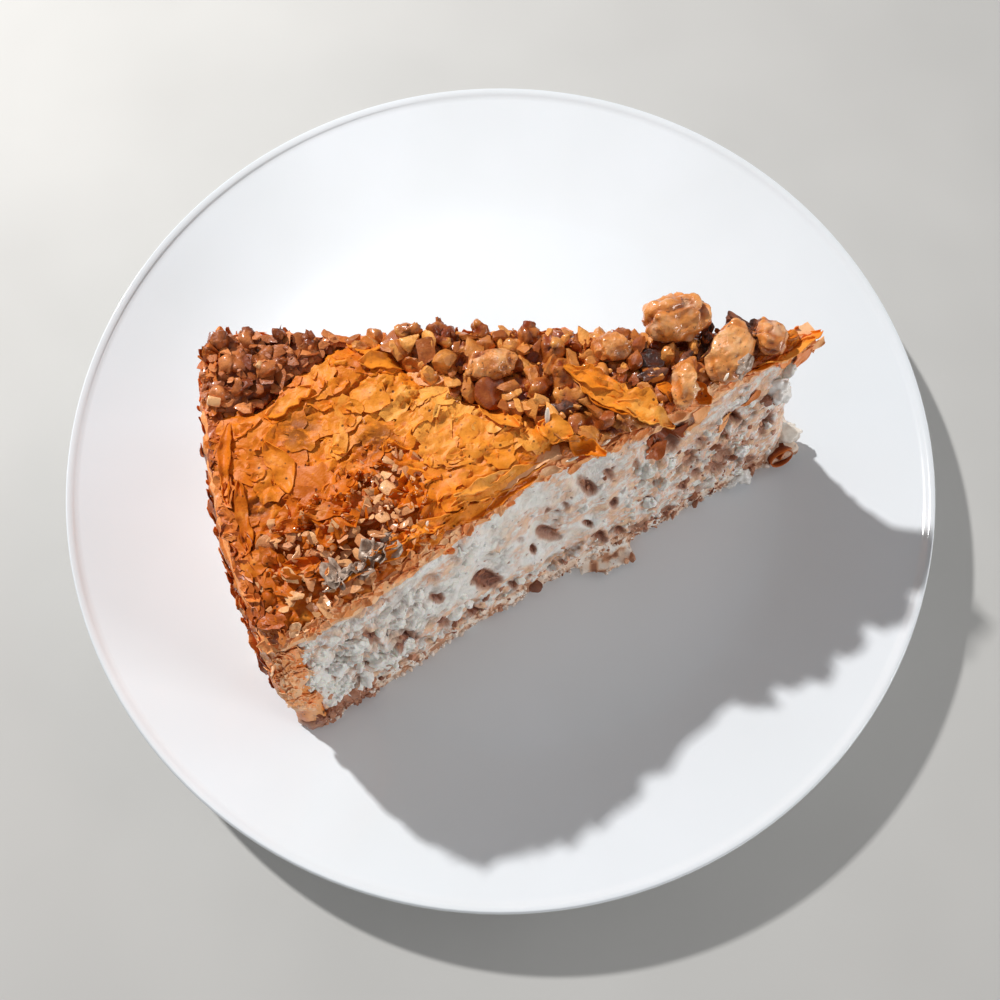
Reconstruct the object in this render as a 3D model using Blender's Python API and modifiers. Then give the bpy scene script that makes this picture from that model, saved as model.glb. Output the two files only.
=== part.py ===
# A slice of baklava cheesecake on its round white plate.
# The mesh is in metres, +Z up. The origin is the middle of the plate's foot, level with the table.
# From the front (-Y) the pointed end of the slice is at the right (+X) and the crusted back at the left.
# Lengths below are millimetres. A height is measured from the floor of the plate's well.

import math
import random

import bmesh
import bpy
from mathutils import Euler, Matrix, Vector, noise
from mathutils.geometry import delaunay_2d_cdt

MM = 0.001
GAP = 0.3  # clear space between neighbouring solids
COLLECTION = "baklava_cheesecake"
SEED = 7

# Plate
PLATE_RADIUS = 111.0
PLATE_HEIGHT = 20.0
PLATE_WALL = 4.4
WELL_RADIUS = 75.0
WELL_FLOOR = 6.5
RIM_CURVE = 1.5  # power of the rise from the well to the rim
LIP_RADIUS = 1.7
FOOT_RADIUS = 62.0
FOOT_WIDTH = 5.0
FOOT_DEPTH = 2.1
FOOT_TAPER = 1.0
UNDERSIDE = (100.0, 88.0, 77.0)  # distances from the middle of the points under the rim
PLATE_STEPS = 64
SLOPE_STEPS = 5
LIP_STEPS = 4

# Slice: a wedge of a cake about 260 across
CAKE_RADIUS = 130.5
WEDGE_ANGLE = math.radians(30.5)
FAR_ANGLE = math.radians(180.5)  # direction of the far cut, from the pointed end
TIP = Vector((68.5, 7.3))
BASE_TOP = 6.5
FILLING_TOP = 56.0
LAYER_TOP = 59.0
CRUST_THICKNESS = 5.5
NEAR_SPREAD = 9.0  # how far each side leans out from the top down to the foot
FAR_SPREAD = 7.0
BACK_SPREAD = 10.0
TIP_ROUND_TOP = 1.0
TIP_ROUND_FOOT = 7.6
CORNER_ROUND = 4.0
NEAR_DENT = dict(along=70.0, reach=20.0, depth=4.5)  # the near cut falls in under the pastry's edge
FOOT_DENT = dict(along=85.0, reach=38.0, depth=2.6)

# Points of the meshes
STATION = 3.5  # spacing of points round the slice
TOP_SPACING = 3.5
FOOT_SPACING = 12.0
ROW_STEP = math.sqrt(3.0) / 2.0
JITTER = 0.22  # share of the spacing that an inner point may stray
EDGE_CLEAR = 0.55  # share of the spacing that an inner point keeps from the edge
TIP_POINTS = 6
CORNER_POINTS = 3
FILLING_ROWS = 7
WALL_ROWS = 9
LAYER_ROWS = 5

# Relief of the sides
CRUMB = dict(size=7.0, depth=0.9, finer=2.3)
TIP_CALM = 0.4  # share of the relief that the thin pointed end takes
PLEATS = dict(width=3.4, depth=1.2, wave=11.0, wave_depth=1.3, run=22.0, bulge=0.8)
LEAVES = dict(step=0.4, roll=0.3, stretch=1.7, rough=1.3)  # edges of the leaves that cover the filling

# Hollows in the near cut: distance from the pointed end, height, radius, depth
HOLLOWS = [
    (41.0, 49.0, 4.6, 4.0),
    (69.0, 37.0, 4.4, 2.4),
    (85.0, 31.0, 5.4, 3.0),
    (90.0, 12.0, 4.4, 2.2),
    (59.0, 49.0, 3.6, 2.0),
    (57.0, 29.0, 3.6, 2.0),
    (20.0, 41.0, 3.8, 2.6),
    (10.0, 31.0, 3.6, 2.2),
    (122.0, 34.0, 3.4, 1.6),
]

# Nuts that stand out of the near cut: distance from the pointed end, height, radius
CUT_NUTS = [
    (29.0, 37.0, 3.0),
    (20.0, 29.0, 3.2),
    (12.0, 13.0, 3.0),
    (24.0, 17.0, 3.4),
    (34.0, 24.0, 2.6),
    (45.0, 14.0, 3.0),
    (13.0, 44.0, 2.4),
    (106.0, 22.0, 3.2),
    (113.0, 40.0, 2.8),
    (123.0, 14.0, 2.8),
    (60.0, 13.0, 2.8),
    (74.0, 15.0, 2.6),
]

# Borders between the golden sheets and the nuts, across the top
CORNER_BORDER = [(-62.0, -13.0), (-51.0, -12.5), (-43.0, -6.0), (-36.0, -1.0), (-29.5, 8.0)]
BAND_BORDER = [
    (-26.0, 8.0), (-22.0, -0.5), (-11.0, -7.0), (-2.0, -11.0), (7.0, -14.0), (12.0, -20.0), (6.5, -29.0)
]
BORDER_GAP = 0.5
BORDER_CLEAR = 0.4  # what an outline point keeps from a border that it ends at
OUTLINE_CLEAR = 1.2  # what a border point keeps from the outline
TOP_INSET = 0.9
TOP_BACK_INSET = 1.6
EDGE_RISE = 1.1
SHOULDER = 0.8
SHEETS = dict(rise=2.4, fold=0.9, fold_long=16.0, fold_wide=7.0)
WRINKLES = dict(rise=0.7, long=4.5, wide=3.2)
RIDGE = dict(rise=1.3, centre=(-20.0, 1.0), reach=(14.0, 9.0))
NUTS = dict(rise=3.6, lump=1.3, lump_size=4.2, swell=1.0, swell_size=13.0)

# Bits of nut that are fused to what they lie on
CORNER_BITS = dict(count=16, sizes=(1.6, 2.8))
BAND_BITS = dict(count=46, sizes=(1.6, 3.7))
PATCH_BITS = dict(count=20, sizes=(1.4, 2.7), centre=(-26.0, -38.0), reach=(12.0, 9.0))
BASE_BITS = dict(every=4, sizes=(1.7, 2.3), height=3.5)
BASE_SWELL = 0.5
UNEVEN = (0.8, 1.12)  # range of a bit's corners, as a share of its size
BIT_REACH = 1.15
BIT_SPACING = 0.75  # what two bits keep apart, as a share of their sizes
TRIES = 80

# Walnut pieces: name, centre, height of the centre, half sizes, turn, lean, detail
WALNUTS = [
    ("walnut_1", (35.0, 6.2), 66.4, (7.0, 4.8, 5.2), 8.0, 6.0, 3),
    ("walnut_2", (45.6, -0.8), 65.2, (4.4, 6.3, 4.4), -14.0, 12.0, 3),
    ("walnut_3", (53.8, 3.2), 64.2, (3.2, 4.2, 3.4), 24.0, -10.0, 2),
    ("walnut_4", (36.4, -6.6), 64.4, (2.8, 5.4, 3.3), -6.0, 8.0, 3),
    ("walnut_5", (22.0, 0.6), 64.8, (4.1, 3.3, 3.1), 0.0, 0.0, 2),
    ("walnut_6", (-2.0, -3.0), 64.4, (5.6, 3.3, 3.0), 12.0, 4.0, 2),
    ("date_piece", (29.8, -2.0), 63.2, (3.1, 3.2, 2.0), 30.0, 0.0, 2),
]
POCKET_GAP = 0.45
LOBES = dict(broad=0.16, fine=0.12, groove=0.13, groove_width=0.22)

# Loose pieces of pastry: on the nuts, under the near cut and at the foot of the pointed end
STRIP = dict(start=(13.5, -5.6), end=(31.0, -14.8), width=5.8, height=64.8, thick=1.0, wave=0.7, drop=0.9)
STRIP_COLUMNS = 9
FLAP = dict(centre=(27.5, -28.5), size=(15.0, 7.0, 1.2), height=1.9, turn=16.0, wave=0.35, taper=0.8)
CURL = dict(centre=(75.0, 0.4), radius=2.4, narrow=2.0, length=9.0, height=3.4, turn=-62.0, sides=10)

# Base colour and roughness of each material
FINISHES = {
    "plate": ((0.86, 0.87, 0.88), 0.12),
    "nut_base": ((0.34, 0.19, 0.12), 0.6),
    "cheese": ((0.78, 0.76, 0.72), 0.5),
    "crust": ((0.55, 0.22, 0.05), 0.5),
    "sheet": ((0.72, 0.33, 0.06), 0.35),
    "nut": ((0.38, 0.18, 0.08), 0.4),
    "walnut": ((0.50, 0.25, 0.11), 0.3),
    "date": ((0.06, 0.02, 0.01), 0.3),
}


def way_of(angle):
    return Vector((math.cos(angle), math.sin(angle)))


NEAR_WAY = way_of(FAR_ANGLE + WEDGE_ANGLE)
NEAR_OUT = Vector((-NEAR_WAY.y, NEAR_WAY.x))
FAR_WAY = way_of(FAR_ANGLE)
FAR_OUT = Vector((FAR_WAY.y, -FAR_WAY.x))


def clear_scene():
    for thing in list(bpy.data.objects):
        bpy.data.objects.remove(thing, do_unlink=True)


def make_collection(name):
    group = bpy.data.collections.new(name)
    bpy.context.scene.collection.children.link(group)
    return group


def finish(name):
    old = bpy.data.materials.get(name)
    if old:
        return old
    colour, roughness = FINISHES[name]
    material = bpy.data.materials.new(name)
    material.use_nodes = True
    shader = material.node_tree.nodes["Principled BSDF"]
    shader.inputs["Base Color"].default_value = (*colour, 1.0)
    shader.inputs["Roughness"].default_value = roughness
    shader.inputs["Metallic"].default_value = 0.0
    return material


def add_object(name, bm, material, group):
    # Turns a bmesh in millimetres into an object in metres, with its faces pointing out.
    bmesh.ops.triangulate(bm, faces=bm.faces)
    bmesh.ops.recalc_face_normals(bm, faces=bm.faces)
    bmesh.ops.scale(bm, vec=(MM, MM, MM), verts=bm.verts)
    mesh = bpy.data.meshes.new(name)
    bm.to_mesh(mesh)
    bm.free()
    thing = bpy.data.objects.new(name, mesh)
    thing.data.materials.append(finish(material))
    group.objects.link(thing)
    return thing


# Plate

def rim_rise(radius):
    # Height of the plate's upper face at a distance from its middle.
    if radius <= WELL_RADIUS:
        return 0.0
    full = PLATE_HEIGHT - WELL_FLOOR - 0.5 * LIP_RADIUS
    share = (radius - WELL_RADIUS) / (PLATE_RADIUS - WELL_RADIUS)
    return full * share ** RIM_CURVE


def plate_profile():
    # From the middle of the upper face, out to the lip, down and back along the underside.
    edge = PLATE_RADIUS - LIP_RADIUS
    profile = [(0.0, WELL_FLOOR)]
    for step in range(SLOPE_STEPS + 1):
        radius = WELL_RADIUS + (edge - WELL_RADIUS) * step / SLOPE_STEPS
        profile.append((radius, WELL_FLOOR + rim_rise(radius)))
    for step in range(LIP_STEPS + 1):
        angle = math.radians(70 - 140 * step / LIP_STEPS)
        height = PLATE_HEIGHT - LIP_RADIUS + LIP_RADIUS * math.sin(angle)
        profile.append((edge + LIP_RADIUS * math.cos(angle), height))
    foot_edge = FOOT_RADIUS + FOOT_WIDTH
    for radius in (*UNDERSIDE, foot_edge):
        profile.append((radius, max(WELL_FLOOR + rim_rise(radius) - PLATE_WALL, FOOT_DEPTH)))
    profile += [(foot_edge - FOOT_TAPER, 0.0), (FOOT_RADIUS, 0.0)]
    profile += [(FOOT_RADIUS - FOOT_TAPER, FOOT_DEPTH), (0.0, FOOT_DEPTH)]
    return profile


def make_plate(group):
    mesh = bpy.data.meshes.new("plate")
    points = [(x * MM, 0.0, z * MM) for x, z in plate_profile()]
    edges = [(i, i + 1) for i in range(len(points) - 1)]
    mesh.from_pydata(points, edges, [])
    plate = bpy.data.objects.new("plate", mesh)
    group.objects.link(plate)
    turn = plate.modifiers.new("turn", "SCREW")
    turn.steps = PLATE_STEPS
    turn.render_steps = PLATE_STEPS
    turn.use_merge_vertices = True
    turn.merge_threshold = 0.00001
    turn.use_smooth_shade = True
    plate.data.materials.append(finish("plate"))


# Outline of the slice at a height

def lean_at(height):
    # 1 at the foot of the slice, 0 at the top of the filling.
    return 1.0 - height / FILLING_TOP


def dent_at(dent, along):
    return dent["depth"] * math.exp(-((along - dent["along"]) / dent["reach"]) ** 2)


def near_dent(along, height):
    share = min(1.0, height / FILLING_TOP)
    return dent_at(NEAR_DENT, along) * share + dent_at(FOOT_DENT, along) * (1.0 - share)


def straight(start, end, out, side):
    count = round(CAKE_RADIUS / STATION)
    return [(start.lerp(end, i / count), out, side) for i in range(count)]


def arc(centre, radius, first, last, count, side):
    turns = [first + (last - first) * i / count for i in range(count)]
    return [(centre + way_of(turn) * radius, way_of(turn), side) for turn in turns]


def back_corner(out, way, offset, radius, rounding):
    # Middle of the rounding where a straight side meets the round back.
    far = radius - rounding
    near = offset - rounding
    return TIP + out * near + way * math.sqrt(far * far - near * near)


def turn_of(vector):
    return math.atan2(vector.y, vector.x) % math.tau


def wedge_outline(height, back_inset=0.0, edge_inset=0.0, rounding=CORNER_ROUND):
    # Points round the slice with their outward directions, counter-clockwise from the near back corner.
    lean = lean_at(height)
    near_off = NEAR_SPREAD * lean - edge_inset
    far_off = FAR_SPREAD * lean - edge_inset
    radius = CAKE_RADIUS + BACK_SPREAD * lean - back_inset
    tip_round = TIP_ROUND_TOP + (TIP_ROUND_FOOT - TIP_ROUND_TOP) * math.sqrt(max(lean, 0.0))
    # The middle of the rounded point keeps its distance from both cuts.
    a, b = near_off - tip_round, far_off - tip_round
    cross = NEAR_OUT.x * FAR_OUT.y - NEAR_OUT.y * FAR_OUT.x
    tip = TIP + Vector((a * FAR_OUT.y - b * NEAR_OUT.y, b * NEAR_OUT.x - a * FAR_OUT.x)) / cross
    near_back = back_corner(NEAR_OUT, NEAR_WAY, near_off, radius, rounding)
    far_back = back_corner(FAR_OUT, FAR_WAY, far_off, radius, rounding)
    near_turn, far_turn = turn_of(NEAR_OUT), turn_of(FAR_OUT) + math.tau
    first, last = turn_of(far_back - TIP), turn_of(near_back - TIP)
    back_count = round(CAKE_RADIUS * WEDGE_ANGLE / STATION)
    outline = straight(near_back + NEAR_OUT * rounding, tip + NEAR_OUT * tip_round, NEAR_OUT, "near")
    outline += arc(tip, tip_round, near_turn, far_turn, TIP_POINTS, "tip")
    outline += straight(tip + FAR_OUT * tip_round, far_back + FAR_OUT * rounding, FAR_OUT, "far")
    if rounding:
        outline += arc(far_back, rounding, far_turn - math.tau, first, CORNER_POINTS, "corner")
    outline += arc(TIP, radius, first, last, back_count, "back")
    if rounding:
        outline += arc(near_back, rounding, last, near_turn, CORNER_POINTS, "corner")
    return outline


def hollow_depth(along, height):
    # How far the near cut is hollowed out at a place.
    depth = 0.0
    for where, at_height, radius, deep in HOLLOWS:
        away = math.hypot(along - where, height - at_height) / radius
        depth = max(depth, deep * (1.0 - 0.8 * away * away))
    return depth


def crumble(point, height):
    # Uneven relief of a crumbly surface.
    spot = Vector((point.x, point.y, height)) / CRUMB["size"]
    return CRUMB["depth"] * (noise.noise(spot) + 0.5 * noise.noise(spot * CRUMB["finer"]))


def shaped(outline, height, rough=1.0, hollows=False, plain_back=False):
    # The outline with its dents, hollows and crumbled relief.
    points = []
    for point, out, side in outline:
        along = (point - TIP).dot(NEAR_WAY)
        shift = rough * crumble(point, height)
        if side == "near":
            shift -= near_dent(along, height)
            if hollows:
                shift -= hollow_depth(along, height)
        if side == "tip":
            shift *= TIP_CALM
        if side == "back" and plain_back:
            shift = 0.0
        points.append(point + out * shift)
    return points


def pleats(point, height):
    # Folds of the pastry that run down the back, leaning a little.
    along = turn_of(point - TIP) * CAKE_RADIUS
    down = height / PLEATS["run"]
    fold = noise.noise(Vector((along / PLEATS["width"] + down, down, 2.0)))
    wave = noise.noise(Vector((along / PLEATS["wave"], 2.0 * down, 9.0)))
    return PLEATS["depth"] * fold + PLEATS["wave_depth"] * wave


# Closed solids from stacked outlines

def inside_distance(point, ring):
    # Distance to the ring, positive inside it.
    best = math.inf
    inside = False
    for i, a in enumerate(ring):
        b = ring[i - 1]
        span = b - a
        share = (point - a).dot(span) / max(span.length_squared, 1e-9)
        best = min(best, (a + span * max(0.0, min(1.0, share)) - point).length)
        if (a.y > point.y) != (b.y > point.y):
            if point.x < (b.x - a.x) * (point.y - a.y) / (b.y - a.y) + a.x:
                inside = not inside
    return best if inside else -best


def box_of(ring):
    xs = [p.x for p in ring]
    ys = [p.y for p in ring]
    return min(xs), max(xs), min(ys), max(ys)


def inner_points(ring, spacing, rng):
    # Points of a loose triangular grid inside the ring.
    low_x, high_x, low_y, high_y = box_of(ring)
    row_step = spacing * ROW_STEP
    points = []
    for row in range(int((high_y - low_y) / row_step) + 1):
        for column in range(int((high_x - low_x) / spacing) + 2):
            x = low_x + (column + 0.5 * (row % 2) + rng.uniform(-JITTER, JITTER)) * spacing
            y = low_y + (row + rng.uniform(-JITTER, JITTER)) * row_step
            if inside_distance(Vector((x, y)), ring) > EDGE_CLEAR * spacing:
                points.append(Vector((x, y)))
    return points


def cap(bm, edge_verts, spacing, rise, rng):
    # Fills a ring of vertices with triangles whose inner points stand at rise(x, y).
    ring = [v.co.xy for v in edge_verts]
    extra = inner_points(ring, spacing, rng) if spacing else []
    count = len(ring)
    edges = [(i, (i + 1) % count) for i in range(count)]
    flat, _, faces, origins, _, _ = delaunay_2d_cdt(ring + extra, edges, [], 1, 1e-5)
    verts = []
    for spot, origin in zip(flat, origins):
        first = min(origin, default=count)
        if first < count:
            verts.append(edge_verts[first])
        else:
            verts.append(bm.verts.new((spot.x, spot.y, WELL_FLOOR + rise(spot.x, spot.y))))
    for face in faces:
        bm.faces.new([verts[i] for i in face])


def stack(rings, top_rise, bottom_rise, top_spacing=0.0, bottom_spacing=0.0):
    # A closed solid from rings of points and their heights, lowest first.
    bm = bmesh.new()
    rows = []
    for points, heights in rings:
        rows.append([bm.verts.new((p.x, p.y, WELL_FLOOR + h)) for p, h in zip(points, heights)])
    count = len(rows[0])
    for low, high in zip(rows, rows[1:]):
        for i in range(count):
            j = (i + 1) % count
            bm.faces.new((low[i], low[j], high[j], high[i]))
    rng = random.Random(SEED)
    cap(bm, rows[-1], top_spacing, top_rise, rng)
    cap(bm, rows[0], bottom_spacing, bottom_rise, rng)
    return bm


def level(points, height):
    return points, [height] * len(points)


def flat_at(height):
    return lambda x, y: height


def on_plate(x, y):
    return rim_rise(math.hypot(x, y)) + GAP


# Joining and cutting

def keep_largest(thing):
    # Drops loose scraps, and fills the sealed hollows that a union leaves.
    bm = bmesh.new()
    bm.from_mesh(thing.data)
    left = set(bm.verts)
    bodies = []
    while left:
        todo = [left.pop()]
        body = set(todo)
        while todo:
            vert = todo.pop()
            near = {edge.other_vert(vert) for edge in vert.link_edges} - body
            body |= near
            todo.extend(near)
        left -= body
        bodies.append(body)
    bodies.sort(key=len)
    scraps = [vert for body in bodies[:-1] for vert in body]
    bmesh.ops.delete(bm, geom=scraps, context="VERTS")
    bmesh.ops.triangulate(bm, faces=bm.faces)
    bm.to_mesh(thing.data)
    bm.free()


def apply_modifiers(thing):
    view = bpy.context.evaluated_depsgraph_get()
    mesh = bpy.data.meshes.new_from_object(thing.evaluated_get(view))
    thing.modifiers.clear()
    thing.data = mesh


def boolean(thing, group, operation):
    # One union with, or cut by, every object in the group, which is then removed.
    step = thing.modifiers.new("step", "BOOLEAN")
    step.operation = operation
    step.operand_type = "COLLECTION"
    step.collection = group
    step.solver = "EXACT"
    step.use_self = operation == "UNION"
    apply_modifiers(thing)
    for piece in list(group.objects):
        bpy.data.objects.remove(piece, do_unlink=True)
    keep_largest(thing)


def add_chip(group, centre, size, rng, floor, roof=math.inf):
    # An uneven bit about as large as size, kept between its floor and its roof.
    bm = bmesh.new()
    bmesh.ops.create_icosphere(bm, subdivisions=1, radius=1.0)
    turn = Euler([rng.uniform(0.0, math.tau) for _ in range(3)]).to_matrix()
    for vert in bm.verts:
        half = Vector(size) * rng.uniform(*UNEVEN)
        spot = turn @ (vert.co * half) + Vector(centre)
        spot.z = min(max(spot.z, floor(spot.x, spot.y)), roof)
        vert.co = spot + Vector((0.0, 0.0, WELL_FLOOR))
    add_object("chip", bm, "nut", group)


# Layers of the slice

def make_base(group, chips):
    middle = 0.5 * BASE_TOP
    foot = shaped(wedge_outline(0.0), 0.0, 0.4)
    rings = [(foot, [on_plate(p.x, p.y) for p in foot])]
    rings.append(level(shaped(wedge_outline(middle, -BASE_SWELL, -BASE_SWELL), middle, 1.3), middle))
    rings.append(level(shaped(wedge_outline(BASE_TOP), BASE_TOP), BASE_TOP))
    solid = stack(rings, flat_at(BASE_TOP), on_plate, 0.0, FOOT_SPACING)
    base = add_object("nut_base", solid, "nut_base", group)
    rng = random.Random(SEED + 1)
    for point, out, side in wedge_outline(middle)[::BASE_BITS["every"]]:
        if side == "back":
            continue
        size = rng.uniform(*BASE_BITS["sizes"])
        spot = point - out * rng.uniform(0.0, 0.4) * size
        if side == "near":
            spot -= out * near_dent((point - TIP).dot(NEAR_WAY), middle)
        half = (size, size * 0.8, size * 0.7)
        add_chip(chips, (spot.x, spot.y, BASE_BITS["height"]), half, rng, on_plate, BASE_TOP)
    add_flap(chips)
    add_curl(chips)
    boolean(base, chips, "UNION")


def add_flap(group):
    # A leaf of pastry that lies out on the plate, from under the near cut.
    bm = bmesh.new()
    bmesh.ops.create_cube(bm, size=1.0)
    bmesh.ops.subdivide_edges(bm, edges=bm.edges, cuts=1, use_grid_fill=True)
    long, wide, thick = FLAP["size"]
    for vert in bm.verts:
        wave = FLAP["wave"] * math.cos(9.0 * vert.co.x)
        narrow = 1.0 - FLAP["taper"] * abs(vert.co.x)
        vert.co = Vector((vert.co.x * long, vert.co.y * wide * narrow, vert.co.z * thick + wave))
    turn = Matrix.Rotation(math.radians(FLAP["turn"]), 4, "Z")
    place = Matrix.Translation((*FLAP["centre"], WELL_FLOOR + FLAP["height"]))
    bmesh.ops.transform(bm, matrix=place @ turn, verts=bm.verts)
    add_object("flap", bm, "nut_base", group)


def add_curl(group):
    # A curled end of pastry at the foot of the pointed end.
    bm = bmesh.new()
    ends = dict(radius1=CURL["radius"], radius2=CURL["narrow"], depth=CURL["length"])
    bmesh.ops.create_cone(bm, segments=CURL["sides"], cap_ends=True, **ends)
    turn = Matrix.Rotation(math.radians(CURL["turn"]), 4, "Z") @ Matrix.Rotation(math.radians(90.0), 4, "X")
    place = Matrix.Translation((*CURL["centre"], WELL_FLOOR + CURL["height"]))
    bmesh.ops.transform(bm, matrix=place @ turn, verts=bm.verts)
    add_object("curl", bm, "nut_base", group)


def make_filling(group, chips):
    low = BASE_TOP + GAP
    rings = []
    for row in range(FILLING_ROWS + 1):
        height = low + (FILLING_TOP - low) * row / FILLING_ROWS
        outline = wedge_outline(height, back_inset=CRUST_THICKNESS + GAP, rounding=0.0)
        rings.append(level(shaped(outline, height, 1.0, True, True), height))
    filling = add_object("filling", stack(rings, flat_at(FILLING_TOP), flat_at(low)), "cheese", group)
    rng = random.Random(SEED + 2)
    for along, height, radius in CUT_NUTS:
        reach = NEAR_SPREAD * lean_at(height) - near_dent(along, height) - 0.35 * radius
        spot = TIP + NEAR_WAY * along + NEAR_OUT * reach
        half = (radius, radius * 0.8, radius * 0.75)
        add_chip(chips, (spot.x, spot.y, height), half, rng, flat_at(low), FILLING_TOP)
    boolean(filling, chips, "UNION")


def make_wall(group):
    # The pastry wall round the back, between two parallel arcs.
    low = BASE_TOP + GAP
    rings = []
    for row in range(WALL_ROWS + 1):
        height = low + (FILLING_TOP - low) * row / WALL_ROWS
        bulge = PLEATS["bulge"] * math.sin(math.pi * row / WALL_ROWS)
        outer = wedge_outline(height)
        band = [p + out * (pleats(p, height) + bulge) for p, out, side in outer if side in ("corner", "back")]
        inner = wedge_outline(height, back_inset=CRUST_THICKNESS, rounding=0.0)
        back = [p for p, _, side in inner if side == "back"]
        band += [shaped([outer[0]], height)[0], shaped([inner[0]], height)[0]]
        rings.append(level(band + back[::-1], height))
    add_object("phyllo_wall", stack(rings, flat_at(FILLING_TOP), flat_at(low)), "crust", group)


def make_layer(group):
    # The pastry over the filling. Its edge steps in and out where the leaves lie on each other.
    low = FILLING_TOP + GAP
    rings = []
    for row in range(LAYER_ROWS + 1):
        height = low + (LAYER_TOP - low) * row / LAYER_ROWS
        inset = LEAVES["step"] if row % 2 == 0 else -LEAVES["step"]
        outline = wedge_outline(height, inset + LEAVES["roll"] * row, inset)
        rings.append(level(shaped(outline, height * LEAVES["stretch"], LEAVES["rough"]), height))
    add_object("phyllo_layer", stack(rings, flat_at(LAYER_TOP), flat_at(low)), "crust", group)


# Top: golden sheets, nuts and walnut pieces

def smooth_curve(points):
    # A Catmull-Rom curve through the points.
    spots = [Vector(p) for p in points]
    spots = [spots[0] * 2 - spots[1]] + spots + [spots[-1] * 2 - spots[-2]]
    curve = []
    for a, b, c, d in zip(spots, spots[1:], spots[2:], spots[3:]):
        count = max(1, round((c - b).length / STATION))
        for i in range(count):
            t = i / count
            square = (2 * a - 5 * b + 4 * c - d) * t * t
            cube = (3 * b - a - 3 * c + d) * t * t * t
            curve.append(0.5 * (2 * b + (c - a) * t + square + cube))
    return curve + [spots[-2]]


def offset_curve(curve, amount):
    # The curve, moved to its left.
    moved = []
    last = len(curve) - 1
    for i, point in enumerate(curve):
        way = (curve[min(i + 1, last)] - curve[max(i - 1, 0)]).normalized()
        moved.append(point + Vector((-way.y, way.x)) * amount)
    return moved


def left_of(point, curve):
    # Distance to the curve, positive to its left.
    best, side = math.inf, 1.0
    for a, b in zip(curve, curve[1:]):
        span = b - a
        share = max(0.0, min(1.0, (point - a).dot(span) / span.length_squared))
        away = (a + span * share - point).length
        if away < best:
            best = away
            side = 1.0 if span.x * (point.y - a.y) > span.y * (point.x - a.x) else -1.0
    return side * best


def stretch(outline, first, last):
    # The part of a closed outline from near one point to near another.
    count = len(outline)
    start = min(range(count), key=lambda i: (outline[i] - first).length)
    end = min(range(count), key=lambda i: (outline[i] - last).length)
    if end < start:
        end += count
    return [outline[i % count] for i in range(start, end + 1)]


def region(outline, first, last, borders):
    # A stretch of the outline, closed by borders that run on from its end. The region is to their left.
    ring = []
    for point in stretch(outline, first, last):
        if all(left_of(point, border) > BORDER_CLEAR for border in borders):
            ring.append(point)
    for border in borders:
        ring += [p for p in border if inside_distance(p, outline) > OUTLINE_CLEAR]
    return ring


def hill(x, y, shape):
    # 1 at the centre of a round rise, falling to 0 around it.
    across = (x - shape["centre"][0]) / shape["reach"][0]
    along = (y - shape["centre"][1]) / shape["reach"][1]
    return math.exp(-across * across - along * along)


def sheets_rise(x, y):
    # Broad folds along the slice, finer wrinkles, and a ridge beside the nuts.
    slant = Vector(((x + 0.5 * y) / SHEETS["fold_long"], (y - 0.3 * x) / SHEETS["fold_wide"], 4.0))
    fold = 1.0 - 2.0 * abs(noise.noise(slant))
    wrinkle = noise.noise(Vector((x / WRINKLES["long"], y / WRINKLES["wide"], 8.0)))
    rise = SHEETS["rise"] + SHEETS["fold"] * fold + WRINKLES["rise"] * wrinkle
    return LAYER_TOP + GAP + rise + RIDGE["rise"] * hill(x, y, RIDGE)


def nuts_rise(x, y):
    # Lumps about as large as the nuts.
    lump = noise.noise(Vector((x, y, NUTS["lump_size"])) / NUTS["lump_size"])
    swell = noise.noise(Vector((x, y, NUTS["lump_size"])) / NUTS["swell_size"])
    return LAYER_TOP + GAP + NUTS["rise"] + NUTS["lump"] * lump + NUTS["swell"] * swell


def make_topping(name, ring, rise, material, group):
    # A slab on the pastry layer whose upper face follows rise.
    low = LAYER_TOP + GAP
    shoulder = offset_curve(ring + ring[:1], SHOULDER)[:-1]
    heights = [0.5 * (rise(p.x, p.y) + low + EDGE_RISE) for p in shoulder]
    rings = [level(ring, low), level(ring, low + EDGE_RISE), (shoulder, heights)]
    return add_object(name, stack(rings, rise, flat_at(low), TOP_SPACING), material, group)


def walnut(piece, group, grow=0.0):
    # A broken walnut half: an uneven lump with a groove along it and a wrinkled skin.
    name, centre, height, half, turn, lean, detail = piece
    bm = bmesh.new()
    bmesh.ops.create_icosphere(bm, subdivisions=detail, radius=1.0)
    shift = Vector((centre[0], centre[1], height))
    for vert in bm.verts:
        way = vert.co.normalized()
        lobes = LOBES["broad"] * noise.noise(way * 1.6 + shift)
        lobes += LOBES["fine"] * noise.noise(way * 3.6 + shift)
        groove = LOBES["groove"] * math.exp(-(way.x / LOBES["groove_width"]) ** 2) * max(0.0, way.z)
        vert.co = way * Vector(half) * (1.0 + lobes - groove) + way * grow
    spin = Euler((math.radians(lean), math.radians(0.6 * lean), math.radians(turn))).to_matrix().to_4x4()
    place = Matrix.Translation((*centre, WELL_FLOOR + height))
    bmesh.ops.transform(bm, matrix=place @ spin, verts=bm.verts)
    return add_object(name, bm, "date" if name.startswith("date") else "walnut", group)


def near_walnut(spot, size):
    # True where a bit of this size could touch a walnut piece.
    for _, centre, _, half, turn, _, _ in WALNUTS:
        away = Matrix.Rotation(math.radians(-turn), 2) @ (spot - Vector(centre))
        reach = BIT_REACH * size + POCKET_GAP
        if math.hypot(away.x / (BIT_REACH * half[0] + reach), away.y / (BIT_REACH * half[1] + reach)) < 1.0:
            return True
    return False


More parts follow.
